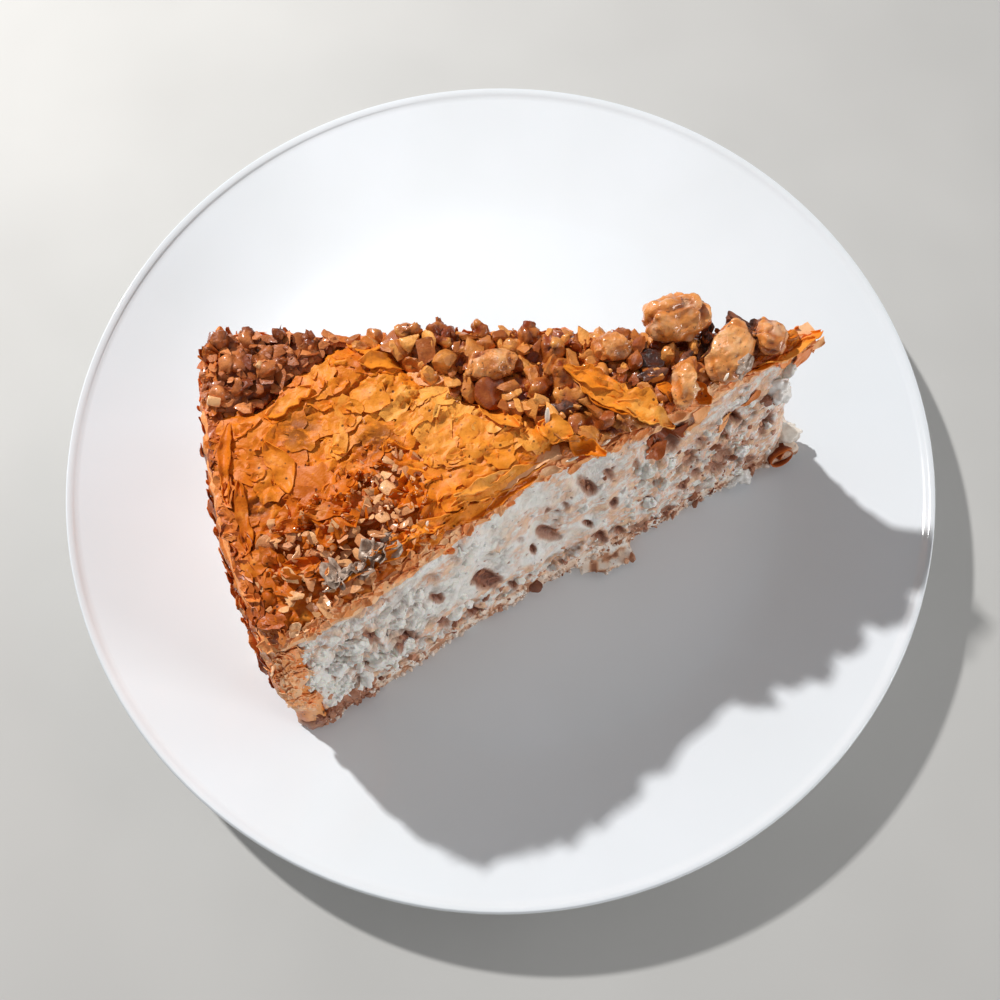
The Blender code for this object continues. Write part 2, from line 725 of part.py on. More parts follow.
def scatter(chips, bits, ring, rise, borders, rng):
    # Bits spread over a region, largest first, clear of its borders and of the walnut pieces.
    low_x, high_x, low_y, high_y = box_of(ring)
    count = bits["count"]
    small, large = bits["sizes"]
    placed = []
    for _ in range(count * TRIES):
        if len(placed) == count:
            break
        size = large - (large - small) * len(placed) / count
        spot = Vector((rng.uniform(low_x, high_x), rng.uniform(low_y, high_y)))
        if "centre" in bits and rng.random() > hill(spot.x, spot.y, bits):
            continue
        if inside_distance(spot, ring) < 0.25 * size:
            continue
        if any(abs(left_of(spot, border)) < BIT_REACH * size + BORDER_GAP for border in borders):
            continue
        if any((spot - other).length < BIT_SPACING * (size + reach) for other, reach in placed):
            continue
        if near_walnut(spot, size):
            continue
        placed.append((spot, size))
        height = rise(spot.x, spot.y) + rng.uniform(0.1, 0.45) * size
        half = (size, size * rng.uniform(0.7, 0.95), size * rng.uniform(0.5, 0.8))
        add_chip(chips, (spot.x, spot.y, height), half, rng, flat_at(LAYER_TOP + GAP))


def add_strip(group):
    # A wavy strip of pastry that lies over the nuts.
    start, end = Vector(STRIP["start"]), Vector(STRIP["end"])
    way = end - start
    across = Vector((-way.y, way.x)).normalized() * STRIP["width"] * 0.5
    bm = bmesh.new()
    grid = []
    for i in range(STRIP_COLUMNS + 1):
        share = i / STRIP_COLUMNS
        middle = start.lerp(end, share)
        edge = across * (0.7 + 0.5 * math.sin(math.pi * share))
        height = STRIP["height"] + STRIP["wave"] * math.sin(7.0 * share)
        for side in (-1, 0, 1):
            spot = middle + edge * side
            drop = STRIP["drop"] * abs(side)
            grid.append(bm.verts.new((spot.x, spot.y, WELL_FLOOR + height - drop)))
    for i in range(STRIP_COLUMNS):
        for j in range(2):
            a = i * 3 + j
            bm.faces.new((grid[a], grid[a + 1], grid[a + 4], grid[a + 3]))
    bmesh.ops.recalc_face_normals(bm, faces=bm.faces)
    bmesh.ops.solidify(bm, geom=bm.faces[:], thickness=STRIP["thick"])
    add_object("strip", bm, "sheet", group)


def make_tops(group, chips, pockets):
    outline = shaped(wedge_outline(LAYER_TOP, TOP_BACK_INSET, TOP_INSET), LAYER_TOP * LEAVES["stretch"])
    corner = smooth_curve(CORNER_BORDER)
    band = smooth_curve(BAND_BORDER)
    rng = random.Random(SEED + 3)

    corner_edge = offset_curve(corner, 0.5 * BORDER_GAP)
    corner_ring = region(outline, corner[-1], corner[0], [corner_edge])
    nut_corner = make_topping("nut_corner", corner_ring, nuts_rise, "nut", group)
    scatter(chips, CORNER_BITS, corner_ring, nuts_rise, [corner], rng)
    boolean(nut_corner, chips, "UNION")

    band_edge = offset_curve(band, 0.5 * BORDER_GAP)
    band_ring = region(outline, band[-1], band[0], [band_edge])
    nut_topping = make_topping("nut_topping", band_ring, nuts_rise, "nut", group)
    for piece in WALNUTS:
        walnut(piece, pockets, POCKET_GAP)
    boolean(nut_topping, pockets, "DIFFERENCE")
    scatter(chips, BAND_BITS, band_ring, nuts_rise, [band], rng)
    add_strip(chips)
    boolean(nut_topping, chips, "UNION")

    band_side = offset_curve(band, -0.5 * BORDER_GAP)[::-1]
    corner_side = offset_curve(corner, -0.5 * BORDER_GAP)[::-1]
    sheets_ring = region(outline, corner[0], band[-1], [band_side, corner_side])
    sheets = make_topping("phyllo_sheets", sheets_ring, sheets_rise, "sheet", group)
    scatter(chips, PATCH_BITS, sheets_ring, sheets_rise, [band, corner], rng)
    boolean(sheets, chips, "UNION")


def main():
    clear_scene()
    group = make_collection(COLLECTION)
    chips = make_collection("chips")
    pockets = make_collection("pockets")
    make_plate(group)
    make_base(group, chips)
    make_filling(group, chips)
    make_wall(group)
    make_layer(group)
    make_tops(group, chips, pockets)
    for piece in WALNUTS:
        walnut(piece, group)


main()
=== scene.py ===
# A slice of baklava cheesecake on its plate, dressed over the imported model.
# Lengths are millimetres in the model's own frame, and colours are sRGB from 0 to 255.
import itertools
import math

import bmesh
import bpy
import numpy as np
from mathutils import Euler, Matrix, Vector
from mathutils.bvhtree import BVHTree


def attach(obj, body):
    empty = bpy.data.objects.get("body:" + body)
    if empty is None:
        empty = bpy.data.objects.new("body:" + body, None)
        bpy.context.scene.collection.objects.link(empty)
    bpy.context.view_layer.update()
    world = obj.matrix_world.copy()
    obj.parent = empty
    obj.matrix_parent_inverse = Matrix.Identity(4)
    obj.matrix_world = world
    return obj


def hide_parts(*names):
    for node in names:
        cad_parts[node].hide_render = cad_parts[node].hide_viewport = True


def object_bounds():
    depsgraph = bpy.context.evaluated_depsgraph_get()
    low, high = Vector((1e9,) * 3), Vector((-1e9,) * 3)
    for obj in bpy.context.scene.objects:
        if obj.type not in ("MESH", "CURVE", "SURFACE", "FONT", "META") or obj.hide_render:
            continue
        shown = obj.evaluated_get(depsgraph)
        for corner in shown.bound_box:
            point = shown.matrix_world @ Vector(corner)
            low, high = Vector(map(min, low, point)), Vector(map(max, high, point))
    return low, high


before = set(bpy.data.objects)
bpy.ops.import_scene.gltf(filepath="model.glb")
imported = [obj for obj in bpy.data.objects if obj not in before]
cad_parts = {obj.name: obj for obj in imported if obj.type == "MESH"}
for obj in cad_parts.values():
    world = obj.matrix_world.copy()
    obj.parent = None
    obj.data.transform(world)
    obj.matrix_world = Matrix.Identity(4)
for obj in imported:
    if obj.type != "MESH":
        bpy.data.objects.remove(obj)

cadBox = [list(corner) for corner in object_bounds()]
millimetre = 0.001
modelTop = cadBox[1][2] / millimetre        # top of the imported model
rayReach = 60.0        # how far a ray looks from where it starts
skyLevel = 100.0        # where the rays from above start


# Noise on many points at once

def cellRandom(cell, seed):
    # The same number from 0 to 1 for a cell each time
    n = cell[..., 0] * 73856093 ^ cell[..., 1] * 19349663 ^ cell[..., 2] * 83492791 ^ (seed + 1) * 40503
    n = n & 0xFFFFFFFF
    n = ((n ^ (n >> 15)) * 2246822519) & 0xFFFFFFFF
    n = ((n ^ (n >> 13)) * 3266489917) & 0xFFFFFFFF
    return ((n ^ (n >> 16)) & 0xFFFFFF) / 16777215.0


def lumps(points, size, seed=0):
    # Smooth noise from -1 to 1 with lumps about as large as size
    spot = points / np.asarray(size, float)
    cell = np.floor(spot).astype(np.int64)
    part = spot - cell
    part = part * part * (3 - 2 * part)
    total = np.zeros(len(points))
    for corner in itertools.product((0, 1), repeat=3):
        weight = np.prod(np.where(corner, part, 1 - part), axis=1)
        total += weight * cellRandom(cell + np.array(corner), seed)
    return total * 2 - 1


def roughness(points, size, seed=0, octaves=3):
    # Lumps with finer lumps on them
    total = np.zeros(len(points))
    for octave in range(octaves):
        total += lumps(points, np.asarray(size, float) / 2 ** octave, seed + 7 * octave) / 2 ** octave
    return total


def ridges(points, size, seed=0):
    # 1 along thin crests, falling to -1 between them
    return 1 - np.abs(lumps(points, size, seed)) * 2


def grains(points, size, seed=0):
    # Distance to the nearest of scattered centres, that centre's own random number, and the height of a face
    # that tilts its own way about it, in units of size
    spot = points / np.asarray(size, float)
    base = np.floor(spot).astype(np.int64)
    best = np.full(len(points), 9.0)
    tone, face = np.zeros(len(points)), np.zeros(len(points))
    for offset in itertools.product((-1, 0, 1), repeat=3):
        cell = base + np.array(offset)
        centre = cell + np.stack([cellRandom(cell, seed + k) for k in range(3)], 1)
        away = np.linalg.norm(centre - spot, axis=1)
        nearer = away < best
        best = np.where(nearer, away, best)
        tone = np.where(nearer, cellRandom(cell, seed + 3), tone)
        tilt = np.stack([cellRandom(cell, seed + k) for k in (4, 5, 6)], 1) * 2 - 1
        face = np.where(nearer, np.sum((spot - centre) * tilt, axis=1), face)
    return best, tone, face


def smoothStep(low, high, values):
    share = np.clip((values - low) / (high - low), 0, 1)
    return share * share * (3 - 2 * share)


def hill(x, y, centreX, centreY, reachX, reachY):
    # 1 at the centre, falling off smoothly over the reaches
    return np.exp(-((x - centreX) / reachX) ** 2 - ((y - centreY) / reachY) ** 2)


def bell(values, middle, reach):
    return np.exp(-((values - middle) / reach) ** 2)


# Shader maths

def colour(red, green, blue):
    # sRGB 0 to 255 as the linear colour that a shader takes
    parts = [c / 255 for c in (red, green, blue)]
    return tuple(c / 12.92 if c <= 0.04045 else ((c + 0.055) / 1.055) ** 2.4 for c in parts) + (1.0,)


class Tone:
    # One socket of a material, so that shader maths reads as plain sums
    def __init__(self, tree, socket=None):
        self.tree = tree
        self.socket = socket

    def node(self, kind, settings=None, values=None, output=0):
        made = self.tree.nodes.new("ShaderNode" + kind)
        for name, setting in (settings or {}).items():
            if name == "stops":
                self.setStops(made.color_ramp, setting)
            else:
                setattr(made, name, setting)
        for name, value in (values or {}).items():
            if isinstance(value, Tone):
                self.tree.links.new(value.socket, made.inputs[name])
            else:
                made.inputs[name].default_value = value
        return Tone(self.tree, made.outputs[output])

    def setStops(self, ramp, stops):
        while len(ramp.elements) < len(stops):
            ramp.elements.new(0.5)
        for element, (place, shade) in zip(ramp.elements, stops.items()):
            element.position = place
            element.color = colour(*shade)

    def maths(self, operation, *values):
        return self.node("Math", {"operation": operation}, dict(enumerate(values)))

    def __add__(self, other):
        return self.maths("ADD", self, other)

    __radd__ = __add__

    def __sub__(self, other):
        return self.maths("SUBTRACT", self, other)

    def __rsub__(self, other):
        return self.maths("SUBTRACT", other, self)

    def __mul__(self, other):
        return self.maths("MULTIPLY", self, other)

    __rmul__ = __mul__

    def band(self, low, high):
        # 0 below low, 1 above high
        values = {"Value": self, "From Min": low, "From Max": high}
        return self.node("MapRange", {"interpolation_type": "SMOOTHSTEP"}, values)

    def place(self):
        return self.node("TexCoord", output="Object")

    def mask(self, name):
        return self.node("Attribute", {"attribute_name": name}, output="Fac")

    def cloud(self, size, detail=3.0, rough=0.55, stretch=(1, 1, 1)):
        # Noise with lumps of this size, from 0 to 1
        spot = self.node("VectorMath", {"operation": "MULTIPLY"}, {0: self.place(), 1: stretch})
        values = {"Vector": spot, "Scale": 1 / (size * millimetre), "Detail": detail, "Roughness": rough}
        return self.node("TexNoise", None, values, "Fac")

    def cells(self, size):
        # Distance to the nearest of scattered spots
        values = {"Vector": self.place(), "Scale": 1 / (size * millimetre)}
        return self.node("TexVoronoi", None, values, "Distance")

    def ramp(self, stops):
        return self.node("ValToRGB", {"stops": stops}, {"Fac": self}, "Color")

    def over(self, base, paint):
        # The paint where this mask is 1, the base where it is 0
        paint = paint if isinstance(paint, Tone) else colour(*paint)
        return self.node("Mix", {"data_type": "RGBA"}, {"Factor": self, 6: base, 7: paint}, 2)

    def bump(self, depth):
        return self.node("Bump", None, {"Height": self, "Distance": depth * millimetre}, "Normal")


def makeFinish(name, look, plain):
    # look gives the colour, the roughness and the normal from the start of the shader maths
    material = bpy.data.materials.new(name)
    material.use_nodes = True
    tree = material.node_tree
    shader = tree.nodes["Principled BSDF"]
    for socket, value in plain.items():
        shader.inputs[socket].default_value = value
    for socket, tone in zip(("Base Color", "Roughness", "Normal"), look(Tone(tree))):
        tree.links.new(tone.socket, shader.inputs[socket])
    return material


# Meshes

def unit(way):
    return way / np.linalg.norm(way)


def arraysOf(mesh):
    # Points in millimetres and triangles
    points = np.empty(len(mesh.vertices) * 3, np.float32)
    mesh.vertices.foreach_get("co", points)
    mesh.calc_loop_triangles()
    faces = np.empty(len(mesh.loop_triangles) * 3, np.int32)
    mesh.loop_triangles.foreach_get("vertices", faces)
    return points.reshape(-1, 3).astype(float) / millimetre, faces.reshape(-1, 3)


def normalsOf(points, faces):
    a, b, c = (points[faces[:, k]] for k in range(3))
    flat = np.cross(b - a, c - a)
    total = np.zeros_like(points)
    for k in range(3):
        np.add.at(total, faces[:, k], flat)
    return total / np.maximum(np.linalg.norm(total, axis=1, keepdims=True), 1e-12)


def addPiece(name, points, faces, material, masks=None, sharp=None, replaces=()):
    mesh = bpy.data.meshes.new(name)
    mesh.from_pydata((points * millimetre).tolist(), [], faces.tolist())
    for key, values in (masks or {}).items():
        mesh.attributes.new(key, "FLOAT", "POINT").data.foreach_set("value", np.asarray(values, np.float32))
    mesh.shade_smooth()
    if sharp:
        mesh.set_sharp_from_angle(angle=math.radians(sharp))
    mesh.materials.append(material)
    piece = bpy.data.objects.new(name, mesh)
    bpy.context.scene.collection.objects.link(piece)
    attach(piece, "root")
    if replaces:
        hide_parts(*replaces)
    print(f"  {name}: {len(faces)} triangles")


class Form:
    # A node's own form as an even, dense mesh whose points can be pushed out along their normals
    def __init__(self, node, voxel):
        self.node = node
        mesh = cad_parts[node].data.copy()
        weld = bmesh.new()
        weld.from_mesh(mesh)
        bmesh.ops.remove_doubles(weld, verts=weld.verts, dist=0.000001)
        weld.to_mesh(mesh)
        weld.free()
        piece = bpy.data.objects.new(node + "Fine", mesh)
        bpy.context.scene.collection.objects.link(piece)
        remesh = piece.modifiers.new("even", "REMESH")
        remesh.mode = "VOXEL"
        remesh.voxel_size = voxel * millimetre
        view = bpy.context.evaluated_depsgraph_get()
        self.points, self.faces = arraysOf(bpy.data.meshes.new_from_object(piece.evaluated_get(view)))
        bpy.data.objects.remove(piece)
        self.normals = normalsOf(self.points, self.faces)

    def push(self, depth, lowest=None, highest=None):
        self.points = self.points + self.normals * depth[:, None]
        if lowest or highest:
            self.points[:, 2] = np.clip(self.points[:, 2], lowest, highest)

    def finish(self, name, material, slotName, masks=None):
        addPiece(name, self.points, self.faces, material, masks, replaces=[self.node])

    def tree(self):
        return treeOf(self.points, self.faces)


class Pile:
    # Many small things that end up in one mesh
    def __init__(self):
        self.points, self.faces, self.tones = [], [], []
        self.count = 0

    def put(self, points, faces, tone):
        self.points.append(points)
        self.faces.append(faces + self.count)
        self.tones.append(np.full(len(points), tone))
        self.count += len(points)

    def finish(self, name, material, slotName, sharp=None):
        points, faces = np.concatenate(self.points), np.concatenate(self.faces)
        addPiece(name, points, faces, material, {"tone": np.concatenate(self.tones)}, sharp)

    def tree(self):
        return treeOf(np.concatenate(self.points), np.concatenate(self.faces))


def treeOf(points, faces):
    return BVHTree.FromPolygons(points.tolist(), faces.tolist())


def firstHit(trees, start, way):
    # Where a ray first meets one of the trees, the normal there and the distance
    best = None
    for tree in trees:
        spot, normal, _, away = tree.ray_cast(Vector(start), Vector(way), rayReach)
        if spot and (best is None or away < best[2]):
            best = (spot, normal, away)
    return best


def ball(detail):
    sphere = bmesh.new()
    bmesh.ops.create_icosphere(sphere, subdivisions=detail, radius=1.0)
    points = np.array([v.co for v in sphere.verts])
    faces = np.array([[v.index for v in f.verts] for f in sphere.faces])
    sphere.free()
    return points, faces


balls = {detail: ball(detail) for detail in (1, 2, 3, 4)}


def disc(rings, spokes):
    # Triangles of a centre point with rings round it
    faces = [(0, 1 + j, 1 + (j + 1) % spokes) for j in range(spokes)]
    for i, j in itertools.product(range(rings - 1), range(spokes)):
        a, b, k = 1 + i * spokes, 1 + (i + 1) * spokes, (j + 1) % spokes
        faces += [(a + j, b + j, b + k), (a + j, b + k, a + k)]
    return np.array(faces)


def gridFaces(rows, columns):
    faces = []
    for i, j in itertools.product(range(rows - 1), range(columns - 1)):
        a = i * columns + j
        faces += [(a, a + columns, a + columns + 1), (a, a + columns + 1, a + 1)]
    return np.array(faces)


def thicken(points, faces, depth):
    # A closed sheet from an open one
    normals = normalsOf(points, faces)
    count = len(points)
    edges = {edge for a, b, c in faces.tolist() for edge in ((a, b), (b, c), (c, a))}
    rim = sorted((a, b) for a, b in edges if (b, a) not in edges)
    sides = [(b, a, a + count) for a, b in rim] + [(b, a + count, b + count) for a, b in rim]
    both = np.concatenate([points, points - normals * depth])
    return both, np.concatenate([faces, faces[:, ::-1] + count, np.array(sides)])


def sheetOf(points, rows, columns, way, depth):
    # A closed sheet from a grid of points, with its front the given way
    faces = gridFaces(rows, columns)
    if np.mean(normalsOf(points, faces) @ way) < 0:
        faces = faces[:, ::-1]
    return thicken(points, faces, depth)


# Where things are on the slice: s runs from the pointed end along the near cut

wedge = {"tip": (68.5, 7.3), "nearTurn": 211.0, "farTurn": 180.5, "floor": 6.5, "radius": 130.5,
         "baseTop": 13.0, "fillingTop": 62.5, "layerTop": 65.5}
tip = np.array([*wedge["tip"], 0.0])


def wayOf(degrees):
    return np.array([math.cos(math.radians(degrees)), math.sin(math.radians(degrees)), 0.0])


nearWay, farWay = wayOf(wedge["nearTurn"]), wayOf(wedge["farTurn"])
nearOut, farOut = np.array([-nearWay[1], nearWay[0], 0]), np.array([farWay[1], -farWay[0], 0])
up = np.array([0.0, 0.0, 1.0])


def nearPlace(points):
    # Distance from the pointed end along the near cut, and height above the plate
    return (points - tip) @ nearWay, points[:, 2] - wedge["floor"]


# The way along each cut, the way out of it, and how far it runs
cutSides = {"near": (nearWay, nearOut, 135.5), "far": (farWay, farOut, 131)}


def hitCut(trees, side, s, h):
    # Where a cut is met from outside at that place
    way, out, _ = cutSides[side]
    return firstHit(trees, tip + way * s + out * 40 + up * (h + wedge["floor"]), -out)


# Plate

print("Plate")
plateForm = {"radius": 111.0, "height": 20.0, "wall": 4.4, "well": 75.0, "floor": 6.5, "curve": 1.5,
             "lip": 1.7, "lipTurns": (62, -70), "foot": 62.0, "footWidth": 5.0, "footDepth": 2.1,
             "underEdge": 104, "wellRows": 6, "rimRows": 26, "lipRows": 12, "underRows": 16, "steps": 160}
plateShades = {0.3: (236, 241, 245), 0.7: (240, 245, 250)}


def rimRise(radius):
    full = plateForm["height"] - plateForm["floor"] - 0.5 * plateForm["lip"]
    share = max(0.0, radius - plateForm["well"]) / (plateForm["radius"] - plateForm["well"])
    return plateForm["floor"] + full * share ** plateForm["curve"]


def plateProfile():
    form = plateForm
    lip, foot, deep = form["lip"], form["foot"], form["footDepth"]
    edge, footEdge = form["radius"] - lip, foot + form["footWidth"]
    inner = [*np.linspace(0, form["well"], form["wellRows"])]
    inner += [*np.linspace(form["well"], edge, form["rimRows"])[1:]]
    profile = [(radius, rimRise(radius)) for radius in inner]
    for angle in np.radians(np.linspace(*form["lipTurns"], form["lipRows"])):
        profile.append((edge + lip * math.cos(angle), form["height"] - lip + lip * math.sin(angle)))
    for radius in np.linspace(form["underEdge"], footEdge, form["underRows"]):
        profile.append((radius, max(rimRise(radius) - form["wall"], deep)))
    profile += [(footEdge - 0.3, 0.7), (footEdge - 0.7, 0.15), (footEdge - 1.2, 0.0), (foot + 0.4, 0.0)]
    return profile + [(foot - 0.2, 0.3), (foot - 1, deep), (0, deep)]


def plateLook(tone):
    glaze = tone.cloud(38, 2).ramp(plateShades)
    return glaze, tone.cloud(9, 4) * 0.08 + 0.07, tone.cloud(22, 1.0).bump(0.05)


def makePlate():
    profile, steps = plateProfile(), plateForm["steps"]
    turns = np.linspace(0, math.tau, steps, endpoint=False)
    rings = [(radius * math.cos(turn), radius * math.sin(turn), level)
             for radius, level in profile[1:-1] for turn in turns]
    points = np.array([(0, 0, profile[0][1]), *rings, (0, 0, profile[-1][1])])
    last = len(points) - 1
    under = [(last, last - steps + (j + 1) % steps, last - steps + j) for j in range(steps)]
    faces = np.concatenate([disc(len(profile) - 2, steps), np.array(under)])
    material = makeFinish("plateGlaze", plateLook, {"Coat Weight": 0.2, "Coat Roughness": 0.06, "IOR": 1.45})
    addPiece("plateGlazed", points, faces, material, replaces=["plate"])


makePlate()


# Cheese filling

print("Filling")
cheeseForm = {"voxel": 0.645, "roll": 0.35, "rollSize": 9.0, "tear": 0.85, "tearSize": 3.4,
              "tearTall": 4.5, "fold": 0.9, "foldSize": 5.2, "fine": 0.16, "fineSize": 1.1,
              "speckSize": 2.3, "speckDepth": 0.5, "slant": 1.1, "farShift": 118}
# Distance from the pointed end, height above the plate, half width, half height, depth, brownness
cheesePits = [
    (57.4, 42.8, 2.2, 3.4, 1.6, 0.8), (52.8, 45.7, 1.4, 2.6, 1.2, 0.75), (51.2, 30.2, 1.4, 4.1, 1.4, 1),
    (62.9, 38.7, 1.0, 2.2, 0.8, 0.55), (67.0, 38.5, 0.7, 3.9, 0.8, 0.8), (57.5, 23.5, 1.4, 1.7, 1.6, 1),
    (67.5, 27.4, 3.1, 3.4, 1.4, 0.75), (72.0, 24.6, 0.8, 3.0, 1.6, 1), (19.1, 39.4, 2.2, 2.0, 2.0, 0.9),
    (8.8, 28.1, 2.5, 7.7, 1.6, 0.75), (40.8, 20.7, 1.6, 3.4, 1.2, 0.8), (9.2, 8.5, 3.5, 4.5, 1.2, 0.7),
    (20.0, 23.8, 2.9, 5.0, 1.2, 0.65), (21.0, 18.0, 3.3, 4.1, 1.0, 0.7), (31.6, 34.2, 2.1, 5.4, 1.2, 0.75),
    (38.4, 47.4, 3.0, 4.0, 2.6, 0.7), (31.6, 19.2, 1.6, 2.1, 1.0, 1), (46.2, 43.9, 1.0, 4.4, 0.8, 0.5),
    (84.8, 23.2, 3.7, 5.3, 1.6, 0.95), (78.9, 11.2, 1.2, 2.6, 1.2, 1), (89.5, 7.8, 2.5, 3.4, 1.6, 1),
    (97.2, 34.6, 1.6, 2.8, 1.3, 0.9), (98.2, 16.9, 1.6, 4.0, 1.0, 0.7), (107.5, 22.4, 3.0, 5.0, 1.6, 0.9),
    (113.0, 40.8, 1.3, 5.0, 1.6, 0.85), (125.8, 26.9, 1.3, 4.0, 1.6, 0.95), (117.7, 25.2, 1.2, 2.0, 1.4, 1),
    (88.9, 51.0, 0.6, 3.9, 1.4, 0.5), (96.5, 47.4, 1.7, 3.3, 0.5, 0.35), (54.2, 13.1, 2.2, 3.7, 1.2, 1),
    (29.6, 40.6, 1.6, 2.5, 1.0, 0.6), (13.9, 25.0, 2.0, 4.3, 1.0, 0.6), (28.2, 22.7, 2.1, 3.5, 1.0, 0.75),
    (48.5, 10.6, 1.5, 3.1, 1.0, 0.9), (106.6, 52.3, 0.8, 1.5, 0.6, 0.5), (74.8, 33.9, 1.2, 2.0, 0.6, 0.4),
]
# The same for the places where the cheese is torn into curds, with how much
cheeseTears = [(114.0, 32.0, 18.0, 26.0, 1.7), (40.0, 30.0, 3.0, 26.0, 1.6), (88.0, 50.0, 5.0, 7.0, 0.9),
               (20.0, 28.0, 18.0, 28.0, 1.1), (70.0, 10.0, 70.0, 5.0, 1.0), (80.0, 36.0, 4.0, 18.0, 0.8)]
cheeseShades = {"milk": {0.25: (228, 223, 214), 0.5: (246, 243, 236), 0.75: (255, 253, 249)},
                "peach": {0.36: (196, 112, 64), 0.5: (232, 160, 110), 0.66: (250, 212, 176)},
                "pit": {0.38: (96, 46, 26), 0.62: (160, 98, 70)},
                "rim": (178, 128, 102), "hollow": (120, 86, 66), "dot": (104, 58, 38)}


def cheeseLook(tone):
    shades = cheeseShades
    milk, peach = tone.cloud(7, 4).ramp(shades["milk"]), tone.cloud(3, 3).ramp(shades["peach"])
    milk = (tone.mask("stain").band(0.3, 0.9) * tone.cloud(3.0, 4, 0.62).band(0.38, 0.62)).over(milk, peach)
    # Painted shade: darker where the torn cheese dips into creases
    milk = (tone.mask("hollow") * tone.cloud(2.4, 3).band(0.3, 0.6) * 0.9).over(milk, shades["hollow"])
    spot = tone.mask("brown") + tone.cloud(1.3, 3) * 0.4 - 0.2
    milk = (spot.band(0.05, 0.6) * 0.9).over(milk, shades["rim"])
    milk = spot.band(0.55, 0.9).over(milk, tone.cloud(1.6, 3).ramp(shades["pit"]))
    dots = (1 - tone.cells(1.9).band(0.1, 0.22)) * tone.cloud(6, 2).band(0.54, 0.64)
    milk = (dots * 0.8).over(milk, shades["dot"])
    grain = tone.cloud(2.6, 5, 0.62) + (1 - tone.cells(1.9)) * 0.3
    return milk, tone.cloud(2.2, 3) * 0.35 + 0.28, grain.bump(0.9)


cheesePlain = {"IOR": 1.42, "Subsurface Weight": 0.12, "Subsurface Scale": 0.001, "Coat Weight": 0.12,
               "Coat Roughness": 0.3}
cheeseMaterial = makeFinish("softCheese", cheeseLook, cheesePlain)


def makeCheese():
    form = cheeseForm
    cheese = Form("filling", form["voxel"])
    points, normals = cheese.points, cheese.normals
    s, h = nearPlace(points)
    far = np.linalg.norm((points - tip)[:, :2], axis=1)
    upright = 1 - smoothStep(0.55, 0.85, np.abs(normals[:, 2]))
    upright *= 1 - smoothStep(wedge["radius"] - 6, wedge["radius"] - 4, far)
    near = smoothStep(0.2, 0.6, normals @ nearOut) * upright
    behind = smoothStep(0.2, 0.6, normals @ farOut) * upright
    edge = smoothStep(0, 1.2, h - 6.8) * smoothStep(0, 1.2, 56 - h)

    torn = 0.18 * np.ones(len(points))
    for s0, h0, reach, rise, much in cheeseTears:
        torn = np.maximum(torn, much * hill(s, h, s0, h0, reach, rise) * near)
    torn = np.clip(torn + 0.25 * lumps(points, 7, 31), 0, 1.7)
    curds, _, curdFace = grains(points + 1.2 * lumps(points, 3, 6)[:, None], form["tearSize"], 5)
    crestSize = (form["tearSize"], form["tearSize"], form["tearTall"])
    crest = ridges(points + 1.5 * lumps(points, 4, 8)[:, None], crestSize, 9)
    folds, _, foldFace = grains(points + 2.0 * lumps(points, 4, 11)[:, None], form["foldSize"], 12)
    push = form["roll"] * roughness(points, form["rollSize"], 3, 2)
    push += torn * form["tear"] * (0.6 * crest + 0.5 * (0.55 - curds) + 1.5 * curdFace)
    push += form["fold"] * smoothStep(0.7, 1.5, torn) * (1.3 * (0.5 - folds) + 1.4 * foldFace)
    push += form["fine"] * (0.4 + torn) * roughness(points, form["fineSize"], 17, 2)
    # Painted shade in the creases of the torn cheese, where the surface is pushed in
    hollow = smoothStep(0.5, -0.5, push) * smoothStep(0.25, 0.8, torn)

    # The photo's pits on the near cut, and the same ones the other way round on the cut that it hides
    brown = np.zeros(len(points))
    behindRun = form["farShift"] - (points - tip) @ farWay
    for (run, side), pit in itertools.product(((s, near), (behindRun, behind)), cheesePits):
        s0, h0, wide, tall, deep, much = pit
        away = np.sqrt(((run - s0) / wide) ** 2 + ((h - h0 - form["slant"] * (run - s0)) / tall) ** 2)
        away += 0.2 * lumps(points, 2.0, int(s0 * 7))
        push -= side * deep * (1 - smoothStep(0.25, 1.0, away))
        brown = np.maximum(brown, side * much * (1 - smoothStep(0.45, 1.35, away)))
    low = smoothStep(11.5, 9.0, h) * smoothStep(18, 30, s) * smoothStep(50, 42, s)
    brown = np.maximum(brown, 0.7 * low * near)
    specks, speckTone, _ = grains(points, form["speckSize"], 23)
    small = (speckTone > 0.72) * (1 - smoothStep(0.1, 0.26, specks))
    push -= form["speckDepth"] * small
    brown = np.maximum(brown, 0.95 * small * (speckTone > 0.8))
    cheese.push(push * upright * edge)

    stain = 0.66 + 0.45 * smoothStep(52, 34, s) + 0.65 * smoothStep(24, 8, h) + 0.3 * smoothStep(16, 8, s)
    stain -= 0.2 * smoothStep(95, 118, s) * smoothStep(10, 20, h)
    stain = np.clip(stain - 0.35 * behind + 0.5 * roughness(cheese.points, (7, 7, 9), 60, 3), 0, 1)
    masks = {"brown": brown, "stain": stain, "hollow": hollow}
    cheese.finish("cheeseFilling", cheeseMaterial, "cheese", masks)
    return cheese


cheese = makeCheese()


# Nut base

print("Base")
baseForm = {"voxel": 1.05, "crumb": 0.8, "crumbSize": 2.2, "most": 0.45}
baseShades = {"crumb": {0.0: (150, 88, 58), 0.3: (222, 166, 128), 0.6: (252, 226, 202), 1.0: (255, 252, 246)},
              "speck": (116, 66, 42)}


def baseLook(tone):
    crumb = tone.mask("tone").ramp(baseShades["crumb"])
    crumb = (tone.cloud(1.1, 3).band(0.54, 0.7) * 0.5).over(crumb, baseShades["speck"])
    return crumb, tone.cloud(1.5, 3) * 0.4 + 0.3, tone.cloud(0.5, 3).bump(0.15)


baseMaterial = makeFinish("crumbBase", baseLook, {"Coat Weight": 0.25, "Coat Roughness": 0.3})


